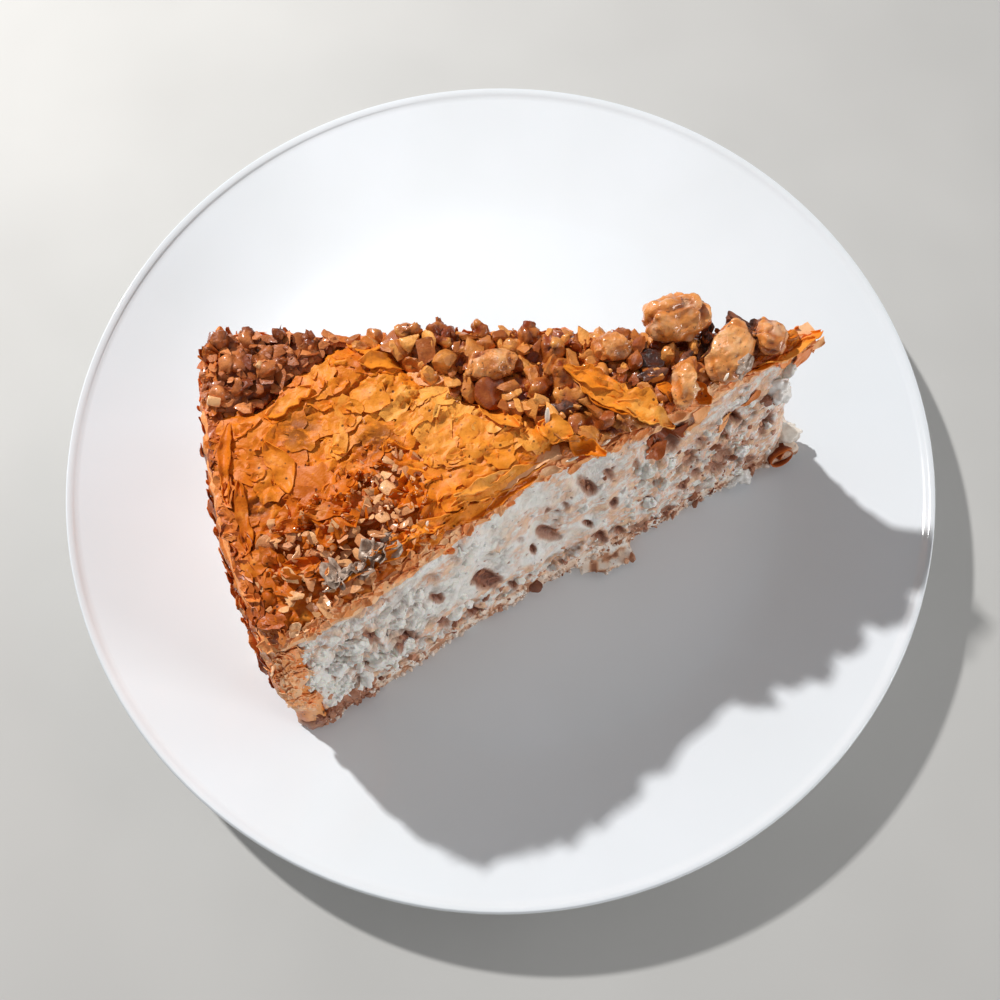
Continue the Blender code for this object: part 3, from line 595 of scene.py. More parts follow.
def makeBase():
    form = baseForm
    base = Form("nut_base", form["voxel"])
    points, normals = base.points, base.normals
    outside = smoothStep(0.1, 0.5, np.linalg.norm(normals[:, :2], axis=1))
    outside *= smoothStep(7.0, 7.8, points[:, 2])
    grain, tones, _ = grains(points, form["crumbSize"], 41)
    push = form["crumb"] * (0.55 - grain) + 0.25 * roughness(points, 1.3, 42, 2)
    base.push(np.minimum(push, form["most"]) * outside, highest=wedge["baseTop"])
    # Browner at the foot of the wall's near end
    s, _ = nearPlace(base.points)
    tones = tones * (1 - 0.8 * smoothStep(118, 123, s) * smoothStep(-17, -9, (base.points - tip) @ nearOut))
    base.finish("crumbBase", baseMaterial, "nut_base", {"tone": tones})
    return base


base = makeBase()


# Pastry wall round the back, and the leaf of pastry over the filling

print("Pastry wall")
wallForm = {"voxel": 0.8, "pleat": 0.55, "pleatWide": 2.3, "pleatTall": 15.0, "flake": 0.3, "layer": 0.22,
            "layersPerMm": 5.5, "inner": 0.4}
crustShades = [(118, 48, 10), (178, 84, 20), (222, 122, 44), (244, 160, 86), (250, 190, 130)]
# Paler shades for the leaf edges and the near cut: partly the paler torn pastry, partly painted light that
# brightens sides the lamps leave in shade
leafShadesWithPaintedLight = [(190, 92, 34), (238, 130, 56), (254, 158, 84), (255, 184, 120), (255, 206, 158)]
crustSpeck = (70, 32, 14)
layerForm = {"voxel": 1.1, "ragged": 0.25}


def crustFinish(name, shades):
    def look(tone):
        baked = tone.mask("tone").ramp({k / (len(shades) - 1): shade for k, shade in enumerate(shades)})
        streak = tone.cloud(1.1, 3, 0.6, (1, 1, 0.16))
        baked = (streak.band(0.5, 0.72) * 0.4).over(baked, shades[1])
        specks = (1 - tone.cells(2.1).band(0.05, 0.14)) * tone.cloud(5, 2).band(0.5, 0.6) * 0.8
        baked = specks.over(baked, crustSpeck)
        return baked, tone.cloud(1.8, 3) * 0.35 + 0.28, (streak + tone.cloud(0.5, 3) * 0.5).bump(0.2)
    return makeFinish(name, look, {"Coat Weight": 0.15, "Coat Roughness": 0.25, "Specular IOR Level": 0.35})


crustMaterial = crustFinish("bakedCrust", crustShades)
leafMaterialWithPaintedLight = crustFinish("leafEdge", leafShadesWithPaintedLight)


def makeWall():
    form = wallForm
    wall = Form("phyllo_wall", form["voxel"])
    points, normals = wall.points, wall.normals
    outward = (points - tip) * np.array([1, 1, 0])
    outward /= np.linalg.norm(outward, axis=1, keepdims=True)
    facing = np.sum(normals * outward, axis=1)
    outer = smoothStep(0.3, 0.7, facing)
    ends = smoothStep(0.35, 0.8, np.abs(normals @ nearOut)) * (1 - outer)
    inner = smoothStep(0.3, 0.7, -facing) * (1 - ends)
    turn = (np.arctan2(outward[:, 1], outward[:, 0]) % math.tau) * wedge["radius"]
    run = np.stack([turn + 1.2 * lumps(points, 9, 50), points[:, 2] * 0, points[:, 2]], 1)
    push = form["pleat"] * ridges(run, (form["pleatWide"], 1, form["pleatTall"]), 51)
    push += form["flake"] * roughness(run, (1.6, 1, 5.0), 53, 2)
    edge = smoothStep(0, 1.0, points[:, 2] - 13.3) * smoothStep(0, 1.0, 62.5 - points[:, 2])
    layers = form["layer"] * np.sin(np.linalg.norm((points - tip)[:, :2], axis=1) * form["layersPerMm"])
    layers += 0.3 * roughness(points, 2.5, 54, 2)
    wall.push((push * outer + layers * ends) * edge + form["inner"] * inner)
    # Pleat crests lighter and valleys darker as painted shade; the cut ends lighter, partly paler pastry and
    # partly painted light
    tones = 0.42 + 0.3 * push * outer + 0.16 * lumps(wall.points, 6, 55) + 0.36 * ends
    wall.finish("pastryWall", crustMaterial, "crust", {"tone": np.clip(tones, 0, 1)})
    return wall


def makeLayer():
    layer = Form("phyllo_layer", layerForm["voxel"])
    side = smoothStep(0.3, 0.7, np.linalg.norm(layer.normals[:, :2], axis=1))
    layer.push(side * layerForm["ragged"] * roughness(layer.points, (3.0, 3.0, 1.0), 61, 2))
    tones = np.clip(0.5 + 0.25 * lumps(layer.points, 5, 62), 0, 1)
    # The layer takes the lighter leaf finish, which carries painted light
    layer.finish("pastryLayer", leafMaterialWithPaintedLight, "crust", {"tone": tones})
    return layer


wall = makeWall()
layer = makeLayer()


# Golden sheets

print("Golden sheets")
goldForm = {"voxel": 0.48, "edge": 0.2, "grain": 0.08}
goldShades = {"sheet": {0.0: (122, 60, 20), 0.25: (190, 92, 16), 0.5: (228, 122, 20), 0.75: (246, 148, 40),
                        1.0: (253, 184, 88)},
              "deep": (190, 84, 6), "pale": (253, 172, 74), "fine": (178, 78, 8), "burnt": (106, 46, 12),
              "speck": (78, 34, 10)}
# Steps of torn sheets: how wide the sheets are, and how high each steps up
goldSteps = [(12, 0.45), (8, 0.4), (5.5, 0.35), (4, 0.3), (2.8, 0.22)]
# Browned places on the golden leaves: x, y and reach
burns = [(-40, -16.5, 7), (-24, -18.5, 7), (-31, -5.5, 4), (-12, -2, 5), (-20, -25, 5), (-50, -12, 4),
         (-46, -32, 5)]
burnLevel = 66.5


def burntPlaces(tone):
    mask = 0
    for x, y, reach in burns:
        spot = (x * millimetre, y * millimetre, burnLevel * millimetre)
        away = tone.node("VectorMath", {"operation": "DISTANCE"}, {0: tone.place(), 1: spot}, "Value")
        mask = (1 - away.band(0.15 * reach * millimetre, reach * millimetre)) + mask
    return mask * tone.cloud(1.7, 4, 0.65, (0.6, 1, 1)).band(0.4, 0.54)


def goldLook(tone):
    shades = goldShades
    gold = tone.mask("tone").ramp(shades["sheet"])
    gold = (tone.cloud(2.2, 4, 0.6).band(0.46, 0.7) * 0.3).over(gold, shades["deep"])
    gold = (tone.cloud(4.5, 3, 0.6).band(0.54, 0.72) * 0.35).over(gold, shades["pale"])
    gold = (tone.cloud(1.3, 3, 0.6).band(0.54, 0.7) * 0.5).over(gold, shades["fine"])
    gold = (burntPlaces(tone) * 0.9).over(gold, shades["burnt"])
    specks = (1 - tone.cells(1.9).band(0.1, 0.2)) * tone.cloud(5, 2).band(0.46, 0.56)
    gold = (specks * 0.9).over(gold, shades["speck"])
    wrinkle = tone.cloud(0.9, 4, 0.6) + tone.cloud(0.35, 2) * 0.4
    return gold, tone.cloud(1.3, 3) * 0.3 + 0.3, wrinkle.bump(0.14)


goldMaterial = makeFinish("goldenSheet", goldLook, {"Coat Weight": 0.05, "Coat Roughness": 0.35,
                                                    "Specular IOR Level": 0.2})


def goldTone(points):
    # Brighter along the middle of the golden part, darker towards the back and the crumb patch
    x, y = points[:, 0], points[:, 1]
    back = smoothStep(-40, -58, x) + 1.3 * smoothStep(-36, -50, y)
    tones = 0.47 + 0.34 * hill(x, y, -10, -15, 21, 13) - 0.26 * hill(x, y, -26, -38, 13, 9)
    tones = tones - 0.28 * hill(x, y, -24, -22, 6, 4) - 0.12 * back
    along = smoothStep(108, 92, nearPlace(points)[0])
    tones += 0.16 * bell((points - tip) @ nearOut, -2, 4) * along
    return tones + 0.14 * lumps(points, 9, 70) + 0.08 * lumps(points, 3, 71)


def makeSheets():
    sheets = Form("phyllo_sheets", goldForm["voxel"])
    points = sheets.points
    above = smoothStep(0.2, 0.6, sheets.normals[:, 2])
    push, rim = np.zeros(len(points)), np.zeros(len(points))
    for k, (size, step) in enumerate(goldSteps):
        field = roughness(points * np.array([1, 1.4, 0.3]), size, 80 + 5 * k, 3)
        push += step * (smoothStep(-0.03, 0.05, field) - 0.5) + 0.5 * step * bell(field, 0.09, 0.07)
        # Lighter along the raised edge of each step, partly the paler torn edge and partly painted light;
        # darker at the foot of each step, painted shade
        rim = np.maximum(rim, bell(field, 0.08, 0.05) * (0.6 + 0.4 * lumps(points, 6, 90 + k)))
        rim -= 0.5 * bell(field, -0.05, 0.05)
    flaky = points * np.array([1, 1.3, 0.35]) + lumps(points, 3, 119)[:, None]
    _, flakeTone, flakeFace = grains(flaky, 3.6, 120)
    chipped = points * np.array([1, 1.2, 0.5]) + 0.5 * lumps(points, 1.4, 129)[:, None]
    _, chipTone, chipFace = grains(chipped, 1.7, 130)
    push += 0.35 * (flakeTone - 0.5) + 0.55 * flakeFace + 0.15 * (chipTone - 0.5) + 0.26 * chipFace
    push += goldForm["grain"] * roughness(points, 1.4, 99, 2)
    sheets.push(push * (0.15 + 0.85 * above), lowest=wedge["layerTop"] + 0.3)
    # The painted light and shade at the step edges goes into the tone here
    tones = goldTone(sheets.points) + goldForm["edge"] * rim
    tones += 0.16 * (flakeTone - 0.5) + 0.12 * (chipTone - 0.5)
    sheets.finish("goldenSheets", goldMaterial, "sheet", {"tone": np.clip(tones, 0, 1)})
    return sheets


sheets = makeSheets()


# Beds of chopped nuts

print("Nut beds")
bedForm = {"voxel": 0.58, "nutSize": 2.6, "face": 1.3}


def nutFinish(name, low, high, shine):
    def look(tone):
        middle = tuple((a + b) / 2 for a, b in zip(low, high))
        nut = (tone.mask("tone") + tone.cloud(2.4, 3) * 0.6 - 0.3).ramp({0.0: low, 0.45: middle, 1.0: high})
        nut = (tone.cloud(1.5, 4, 0.62).band(0.5, 0.68) * 0.35).over(nut, tuple(c * 0.75 for c in low))
        nut = (tone.cloud(1.0, 3).band(0.6, 0.74) * 0.25).over(nut, (236, 182, 136))
        return nut, tone.cloud(1.1, 3) * 0.35 + 0.22, tone.cloud(0.45, 4).bump(0.16)
    return makeFinish(name, look, {"Coat Weight": shine, "Coat Roughness": 0.12, "Specular IOR Level": 0.35})


nutMaterial = nutFinish("syrupNuts", (144, 56, 8), (255, 176, 86), 0.45)
toastMaterial = nutFinish("toastedNuts", (126, 54, 16), (246, 156, 88), 0.3)
crumbMaterial = nutFinish("crumbNuts", (204, 122, 70), (248, 190, 132), 0.4)
boiledMaterial = nutFinish("nutsInCream", (124, 66, 42), (238, 176, 140), 0.3)


def makeNutBed(node, name, material):
    bed = Form(node, bedForm["voxel"])
    points = bed.points
    above = smoothStep(-0.1, 0.4, bed.normals[:, 2])
    shifted = points * np.array([1, 1, 0.6]) + lumps(points, 2.5, 89)[:, None]
    grain, grainTone, grainFace = grains(shifted, bedForm["nutSize"], 90)
    push = 0.4 * (0.5 - grain) + 0.5 * (grainTone - 0.5) + bedForm["face"] * grainFace
    push += 0.15 * roughness(points, 1.2, 91, 2)
    bed.push(push * (0.3 + 0.7 * above), wedge["layerTop"] + 0.3, modelTop - 0.3)
    bed.finish(name, material, "nut", {"tone": np.clip(0.75 * grainTone - 0.15 + 0.3 * push, 0, 1)})
    return bed


nutBed = makeNutBed("nut_topping", "nutBed", nutMaterial)
cornerBed = makeNutBed("nut_corner", "cornerNutBed", toastMaterial)


# Walnut pieces and the date

print("Walnuts")
walnutForm = {"voxel": 0.35, "fold": 0.16, "foldSize": 0.62, "crease": 0.12, "creaseSize": 1.3, "skin": 0.05}
walnutShades = {"flesh": {0.0: (84, 36, 16), 0.3: (178, 92, 36), 0.6: (232, 146, 68), 1.0: (250, 196, 134)},
                "skin": (156, 74, 26), "pale": (250, 214, 174), "speck": (70, 32, 18)}
dateForm = {"voxel": 0.3, "fold": 0.45, "foldSize": 2.2, "fine": 0.2, "in": 0.2}
dateShades = {0.35: (34, 14, 10), 0.7: (88, 40, 24)}


def walnutLook(tone):
    shades = walnutShades
    flesh = tone.mask("tone").ramp(shades["flesh"])
    flesh = (tone.cloud(4.0, 4, 0.6).band(0.52, 0.66) * 0.45).over(flesh, shades["skin"])
    flesh = (tone.cloud(5.0, 2).band(0.54, 0.7) * 0.5).over(flesh, shades["pale"])
    flesh = (tone.cloud(1.0, 3).band(0.62, 0.7) * 0.7).over(flesh, shades["speck"])
    return flesh, tone.cloud(1.6, 3) * 0.3 + 0.2, tone.cloud(0.6, 4).bump(0.22)


def dateLook(tone):
    dark = tone.cloud(1.6, 3).ramp(dateShades)
    return dark, tone.cloud(1.0, 3) * 0.3 + 0.2, tone.cloud(0.5, 3).bump(0.2)


walnutPlain = {"Coat Weight": 0.75, "Coat Roughness": 0.08, "IOR": 1.48, "Subsurface Weight": 0.08,
               "Subsurface Scale": 0.001}
walnutMaterial = makeFinish("glazedWalnut", walnutLook, walnutPlain)
dateMaterial = makeFinish("darkFruit", dateLook, {"Coat Weight": 0.8, "Coat Roughness": 0.1})


def makeWalnut(node, seed):
    # The CAD piece's own form with the folds of a kernel on it
    form = walnutForm
    kernel = Form(node, form["voxel"])
    points = kernel.points
    size = np.abs(points - points.mean(0)).max(0).mean()
    warped = points + 0.25 * size * np.stack([lumps(points, 0.8 * size, seed + k) for k in range(3)], 1)
    crest = ridges(warped, form["foldSize"] * size, seed)
    crease = ridges(warped, form["creaseSize"] * size, seed + 9)
    push = size * (form["fold"] * (crest - 0.45) - form["crease"] * smoothStep(0.75, 0.98, crease))
    push += size * form["skin"] * roughness(points, 0.25 * size, seed + 3, 2)
    kernel.push(push, highest=modelTop)
    tones = np.clip(0.55 + 1.6 * push / size + 0.25 * lumps(kernel.points, size, seed + 5), 0, 1)
    kernel.finish(node.replace("_", "") + "Kernel", walnutMaterial, "walnut", {"tone": tones})
    return kernel


def makeDate():
    form = dateForm
    date = Form("date_piece", form["voxel"])
    push = form["fold"] * ridges(date.points, form["foldSize"], 240)
    date.push(push + form["fine"] * roughness(date.points, 1.0, 241, 2) - form["in"])
    date.finish("datePiece", dateMaterial, "date")
    return date


kernels = [makeWalnut(f"walnut_{k}", 100 + 20 * k) for k in range(1, 7)]
date = makeDate()


# Height of the top so far, on an even grid, so that what falls later settles into the gaps

heapForm = {"low": (-63.0, -61.0), "high": (69.0, 13.0), "step": 0.5}


class Heap:
    def __init__(self, trees):
        low, high, step = heapForm["low"], heapForm["high"], heapForm["step"]
        grid = np.meshgrid(np.arange(low[0], high[0], step), np.arange(low[1], high[1], step))
        self.x, self.y = (axis.ravel() for axis in grid)
        self.height = np.zeros(len(self.x))
        self.under = np.zeros(len(self.x), int)
        for k, (x, y) in enumerate(zip(self.x, self.y)):
            for number, tree in enumerate(trees):
                spot = tree.ray_cast(Vector((x, y, skyLevel)), Vector((0, 0, -1)))[0]
                if spot and spot.z > self.height[k]:
                    self.height[k], self.under[k] = spot.z, number + 1

    def keepBed(self):
        self.bed = self.height.copy()

    def near(self, x, y, reach):
        away = np.hypot(self.x - x, self.y - y)
        cells = np.nonzero(away < reach)[0]
        return cells, away[cells]

    def level(self, x, y, size):
        cells, _ = self.near(x, y, 0.9 * size + 0.3)
        heights = self.height[cells]
        heights = heights[heights > wedge["layerTop"] - 1]
        return heights.mean() if len(heights) > 0.93 * len(cells) else None

    def add(self, x, y, centre, size, flat=0.7):
        cells, away = self.near(x, y, size)
        cap = centre + flat * size * np.sqrt(np.maximum(0, 1 - (away / size) ** 2))
        self.height[cells] = np.maximum(self.height[cells], cap)


fineTrees = {"cheese": cheese.tree(), "base": base.tree(), "wall": wall.tree(), "layer": layer.tree(),
             "sheets": sheets.tree(), "nutBed": nutBed.tree(), "cornerBed": cornerBed.tree()}
heap = Heap([fineTrees["sheets"], fineTrees["nutBed"], fineTrees["cornerBed"], fineTrees["layer"]])
for kernel in kernels + [date]:
    middle, half = kernel.points.mean(0), np.ptp(kernel.points, axis=0) / 2
    heap.add(middle[0], middle[1], middle[2] + 4, 0.8 * half[:2].mean())
heap.keepBed()
onSheets, onBand, onCorner, onLayer = (heap.under == k for k in (1, 2, 3, 4))


# Broken nuts

print("Broken nuts")
# How many, smallest and largest half size, height above the heap as a share of the size, broken faces,
# thickness as a share of the size, and how far they lean in radians
bandNuts = {"middle": (60, 1.0, 2.0, 0.0, 7, 0.5, 3.1), "large": (84, 2.4, 4.3, -0.25, 3, 0.62, 3.1),
            "shards": (170, 1.6, 3.8, 0.1, 9, 0.28, 0.6), "crumbs": (110, 0.35, 1.0, 0.25, 8, 0.6, 3.1)}
cornerNuts = {"shards": (190, 1.7, 3.6, -0.02, 14, 0.2, 0.5), "small": (160, 0.9, 1.8, 0.1, 13, 0.24, 0.7),
              "crumbs": (110, 0.35, 0.9, 0.3, 12, 0.45, 3.1)}
patchNuts = {"shards": (300, 1.3, 2.9, 0.2, 13, 0.22, 0.7), "middle": (330, 0.7, 1.4, 0.4, 12, 0.32, 1.2),
             "crumbs": (120, 0.3, 0.6, 0.5, 12, 0.5, 3.1)}
strayNuts = {"middle": (14, 0.7, 1.2, 0.1, 12, 0.4, 1.0), "crumbs": (70, 0.25, 0.6, 0.3, 10, 0.5, 3.1)}
topCeiling, cornerCeiling = 77.6, 73.6


def nutBit(size, rng, cuts=6, flat=0.62, lean=3.1):
    # A lump with flat broken faces
    points, faces = balls[3 if size > 1.6 else 2 if size > 0.6 else 1]
    points = points.copy()
    for _ in range(cuts):
        way = unit(rng.normal(size=3))
        points -= np.maximum(points @ way - rng.uniform(0.28, 0.84 - 0.02 * cuts), 0)[:, None] * way
    shift = points + rng.uniform(0, 99)
    smooth = cuts < 7
    folds = 0.16 * (ridges(shift, 0.7, 5) - 0.5) if size > 1.4 and smooth else 0
    swell = (0.2 if smooth else 0.08) * lumps(shift, 0.75, 3) + 0.08 * lumps(shift, 0.3, 4)
    points = points * (1 + swell + folds)[:, None]
    half = np.array([1, rng.uniform(0.55, 0.95), flat + rng.uniform(-0.08, 0.12)]) * size
    turn = Euler((rng.uniform(-lean, lean), rng.uniform(-lean, lean), rng.uniform(0, math.tau)))
    return (points * half) @ np.array(turn.to_matrix()).T, faces


def strewTop(pile, kinds, chance, seed, tones, ceiling=topCeiling, choices=6, most=2.4):
    # Bits dropped where chance allows, kind by kind in the order given, each into the lowest of a few places
    rng = np.random.default_rng(seed)
    for count, small, large, rise, cuts, flat, lean in kinds.values():
        for options in rng.choice(len(chance), (count, choices), p=chance / chance.sum()):
            cell = options[np.argmin(heap.height[options])]
            x, y = heap.x[cell], heap.y[cell]
            size = small + (large - small) * rng.random() ** 1.5
            ground = heap.level(x, y, size)
            if ground is None or ground > heap.bed[cell] + most:
                continue
            centre = ground + size * (rise + rng.uniform(-0.1, 0.2))
            if centre + 0.85 * size > ceiling:
                continue
            points, faces = nutBit(size, rng, cuts, flat, lean)
            pile.put(points + np.array([x, y, centre]), faces, rng.uniform(*tones))
            heap.add(x, y, centre, 0.9 * size, flat)


patchPlace = hill(heap.x, heap.y, -26.5, -40.5, 9.5, 6.5) + 0.75 * hill(heap.x, heap.y, -21, -30, 4, 5.5)
backHeap = hill(heap.x, heap.y, -27, 4, 4.5, 2.5) * (heap.under > 0)        # behind the golden part
bandPile, cornerPile, patchPile = Pile(), Pile(), Pile()
strewTop(bandPile, bandNuts, np.maximum(onBand, 1.2 * backHeap), 11, (0.05, 1.0))
strewTop(cornerPile, cornerNuts, onCorner * 1.0, 12, (0.0, 0.85), cornerCeiling, most=1.3)
strewTop(patchPile, patchNuts, onSheets * patchPlace, 13, (0.1, 1.0), choices=3)
strewTop(patchPile, strayNuts, onSheets * 1.0, 14, (0.0, 0.7))
bandPile.finish("brokenNuts", nutMaterial, "nut", 32)
cornerPile.finish("cornerNuts", toastMaterial, "nut", 20)
patchPile.finish("patchNuts", crumbMaterial, "nut", 24)


# Leaves of pastry

print("Pastry leaves")
flakeForm = {"thick": 0.14, "clear": 0.05, "torn": 0.34, "tornFine": 0.2, "jagged": 0.1, "wrinkle": 0.1,
             "riseFrom": 2.5, "above": 9, "below": 5}
# How many, smallest and largest half length, how high the edges rise
goldLeaves = {"large": (26, 4.5, 8.5, 0.08), "middle": (60, 2.2, 4.4, 0.12), "small": (50, 0.9, 2.0, 0.2)}
discs = {"fine": (5, 26, disc(5, 26)), "plain": (4, 16, disc(4, 16)), "tiny": (2, 10, disc(2, 10))}


def flake(trees, centre, outward, along, long, wide, lift, rng, overhang=0.03):
    # A thin torn leaf that follows what it lies on and rises at some of its edges
    form, thick = flakeForm, flakeForm["thick"]
    rings, spokes, faces = discs["fine" if long > 3.4 else "plain" if long > 1.5 else "tiny"]
    turns = np.linspace(0, math.tau, spokes, endpoint=False)
    seed = int(rng.integers(1000))
    circle = np.stack([np.cos(turns), np.sin(turns), np.full(spokes, seed)], 1)
    outline = 1 + form["torn"] * lumps(circle, 0.8, seed) + form["tornFine"] * lumps(circle, 0.3, seed)
    outline = outline + rng.uniform(-form["jagged"], form["jagged"], spokes)
    raised, bend = rng.uniform(0, math.tau), rng.uniform(-0.4, 1.0)
    shares = np.repeat(np.arange(1, rings + 1) / rings, spokes)
    turns, outline = np.tile(turns, rings), np.tile(outline, rings)
    u = np.concatenate([[0], np.cos(turns) * long * shares * outline])
    v = np.concatenate([[0], np.sin(turns) * wide * shares * outline])
    risen = np.concatenate([[0], np.maximum(0, bend + np.cos(turns - raised))])
    shares = np.concatenate([[0], shares])
    spots = centre + u[:, None] * along + v[:, None] * np.cross(outward, along)
    heights = np.full(len(spots), np.nan)
    for k, spot in enumerate(spots):
        hit = firstHit(trees, spot + outward * form["above"], -outward)
        if hit and hit[2] < form["above"] + form["below"]:
            heights[k] = np.dot(np.array(hit[0]) - centre, outward)
    if np.isnan(heights).mean() > overhang:
        return None
    middle = np.nanmean(heights)
    heights = np.nan_to_num(heights, nan=middle - 0.4)
    heights = np.clip(heights, middle - 0.7 * long, middle + 0.7 * long)
    heights = np.maximum(heights, 0.5 * heights + 0.5 * middle)
    wrinkle = form["wrinkle"] * min(long, 4) * lumps(spots, 0.45 * long + 0.6, seed)
    rise = lift * risen * shares ** form["riseFrom"]
    heights += thick + form["clear"] + rise + np.abs(wrinkle) * (0.4 + shares)
    return thicken(spots + heights[:, None] * outward, faces, thick)


def fits(leaf, lowest, highest):
    # Whether there is a leaf, and all of it lies between these heights
    return leaf is not None and leaf[0][:, 2].min() > lowest and leaf[0][:, 2].max() < highest


def hitDown(trees, x, y):
    return firstHit(trees, (x, y, skyLevel), (0, 0, -1))


def strewLeaves(pile, kinds, chance, trees, seed):
    # Leaves laid where chance allows, each size on those before it
    rng = np.random.default_rng(seed)
    for count, small, large, lift in kinds.values():
        for cell in rng.choice(len(chance), count, p=chance / chance.sum()):
            x, y = heap.x[cell], heap.y[cell]
            hit = hitDown(trees, x, y)
            if not hit:
                continue
            long = rng.uniform(small, large)
            leaf = flake(trees, np.array([x, y, hit[0].z]), up, wayOf(205 + rng.normal(0, 35)), long,
                         long * rng.uniform(0.4, 0.8), lift * rng.uniform(0.3, 1.3), rng)
            if fits(leaf, 0, topCeiling):
                tone = float(goldTone(np.array([[x, y, 69.0]]))[0]) + 0.06
                pile.put(*leaf, min(1, max(0, tone + rng.normal(0, 0.06))))
        trees = trees + [pile.tree()]
    return trees


goldPile = Pile()
goldTrees = [fineTrees["sheets"], fineTrees["cornerBed"], patchPile.tree(), fineTrees["layer"]]
goldChance = onSheets * np.maximum(0.005, 1 - 1.7 * patchPlace) + 0.9 * onLayer * (heap.x < 12)
goldTrees = strewLeaves(goldPile, goldLeaves, goldChance, goldTrees, 21)
goldPile.finish("goldenFlakes", goldMaterial, "sheet", 60)

# Start, end, half width, lift and tone of the long leaves on the golden part, then of those on the nuts
longLeaves = [((9, -21.8), (-9, -32.8), 1.1, 0.6, 0.8), ((7, -24.6), (-11, -36), 1.0, 0.5, 0.66),
              ((3, -23.8), (-9, -30.2), 0.9, 0.9, 0.9), ((1, -28.8), (-14, -38), 1.0, 0.3, 0.6),
              ((-13, -36.5), (-29, -47.5), 1.2, 0.4, 0.56), ((-9, -34), (-22, -42), 1.0, 0.5, 0.72),
              ((-53, -15), (-52, -31), 1.3, 0.3, 0.5), ((-50, -27), (-47, -41), 1.3, 0.3, 0.42),
              ((-8, -8), (4, -15.5), 1.6, 0.5, 0.8), ((-31, 3), (-24, 1), 1.7, 1.0, 0.68),
              ((-28, -2), (-19, -1), 1.8, 0.6, 0.76), ((-46, -13), (-37, -8), 1.7, 0.3, 0.72),
              ((-45, -19), (-40, -29), 2.0, 0.25, 0.64)]
nutLeaves = [((14.0, -6.0), (33.5, -15.0), 2.7, 0.6, 0.78), ((12.4, -4.4), (23.5, -9.8), 1.7, 0.9, 0.7),
             ((22.5, -11.5), (34.0, -15.6), 1.7, 1.0, 0.9), ((17.5, -9.6), (27.0, -14.0), 1.2, 0.3, 0.5),
             ((7, -15.5), (13.5, -18.8), 1.7, 0.5, 0.78), ((13, -18.4), (20.5, -21.2), 1.4, 0.4, 0.66),
             ((30.5, -7.8), (35.5, -10.2), 1.2, 0.6, 0.6), ((38.5, -6), (41.5, -10.5), 1.5, 0.5, 0.52),
             ((48, -3.5), (57, 1), 1.3, 0.4, 0.6), ((54, 1.0), (65.2, 5.7), 2.1, 0.3, 0.66),
             ((51.5, -1.8), (63.8, 3.9), 1.3, 0.4, 0.84), ((56, 3.6), (63.6, 6.4), 1.3, 0.4, 0.5)]
stripForm = {"columns": 11, "curl": 0.5, "rest": 0.6, "sway": 0.9, "thick": 0.2}


def strip(trees, start, end, wide, lift, seed, flutter):
    # A long leaf between two spots that sags onto what lies under it, with wavy edges that curl up
    form = stripForm
    length = np.linalg.norm(end - start)
    along = (end - start) / length
    across = np.cross(up, along)
    rows, columns = max(6, int(length / 0.5)), form["columns"]
    shares, sides = np.linspace(0, 1, rows), np.linspace(-1, 1, columns)
    line = np.stack([shares * length, np.zeros(rows), np.full(rows, seed)], 1)
    ends = np.minimum(1, 3.2 * np.minimum(shares, 1 - shares)) ** 0.7
    grid = []
    for side in sides:
        torn = 0.45 * lumps(line + side, 3.0, seed) + 0.35 * lumps(line + side, 1.1, seed + 1)
        edge = wide * (0.08 + 0.92 * ends) * (1 + torn)
        sway = side * edge + form["sway"] * lumps(line, 6, seed + 2)
        grid.append(start + along * (shares * length)[:, None] + across * sway[:, None])
    points = np.stack(grid, 1).reshape(-1, 3)
    hits = [hitDown(trees, x, y) for x, y, _ in points]
    ground = np.array([hit[0].z if hit else start[2] - 3 for hit in hits]).reshape(rows, columns)
    smooth = ground
    for _ in range(6):
        padded = np.pad(smooth, 1, "edge")
        smooth = (padded[:-2, 1:-1] + padded[2:, 1:-1] + padded[1:-1, :-2] + padded[1:-1, 2:]) / 4
    height = np.maximum(smooth + lift, form["rest"] * ground + (1 - form["rest"]) * (smooth + lift) + 0.2)
    edges = np.tile(np.abs(sides), (rows, 1))
    wave = flutter * lumps(points, 2.4, seed + 3) * (0.5 + edges.ravel())
    wave += 0.5 * flutter * np.abs(lumps(points, 1.0, seed + 6))
    height = height + form["curl"] * edges ** 3 * (1 + lumps(points, 4, seed + 4).reshape(rows, columns))
    points[:, 2] = height.ravel() + wave
    return sheetOf(points, rows, columns, up, form["thick"])


def makeLongLeaves():
    pile = Pile()
    nutTrees = [fineTrees["nutBed"], bandPile.tree(), fineTrees["sheets"], fineTrees["layer"]]
    groups = ((longLeaves, goldTrees, 68, 400, 0.35), (nutLeaves, nutTrees, 71, 600, 0.6))
    for leaves, trees, level, seed, flutter in groups:
        for k, (start, end, wide, lift, tone) in enumerate(leaves):
            start, end = np.array([*start, level], float), np.array([*end, level], float)
            pile.put(*strip(trees, start, end, wide, lift, seed + 10 * k, flutter), tone)
    pile.finish("longLeaves", goldMaterial, "sheet", 60)


makeLongLeaves()


# Edges of the leaves round the top

print("Leaf edges")
# Level of the leaf, how far in it starts, how far it hangs down, how far it stands out, tone
leafEdges = [(63.0, 2.2, 1.6, 0.5, 0.72), (64.3, 2.6, 1.5, 0.3, 0.86), (65.6, 2.8, 1.7, 0.15, 0.66),
             (66.7, 3.0, 1.6, -0.2, 0.8)]
# Across a ribbon from its inner edge: how far in as a share of the inset and how high, then how far out and
# how far down as a share of the hang
ribbonIn = [(1, 0.0), (0.55, 0.2), (0.2, 0.22)]
ribbonOut = [(0.0, 0.0), (0.15, -0.4), (0.3, -0.75), (0.45, -1.0)]
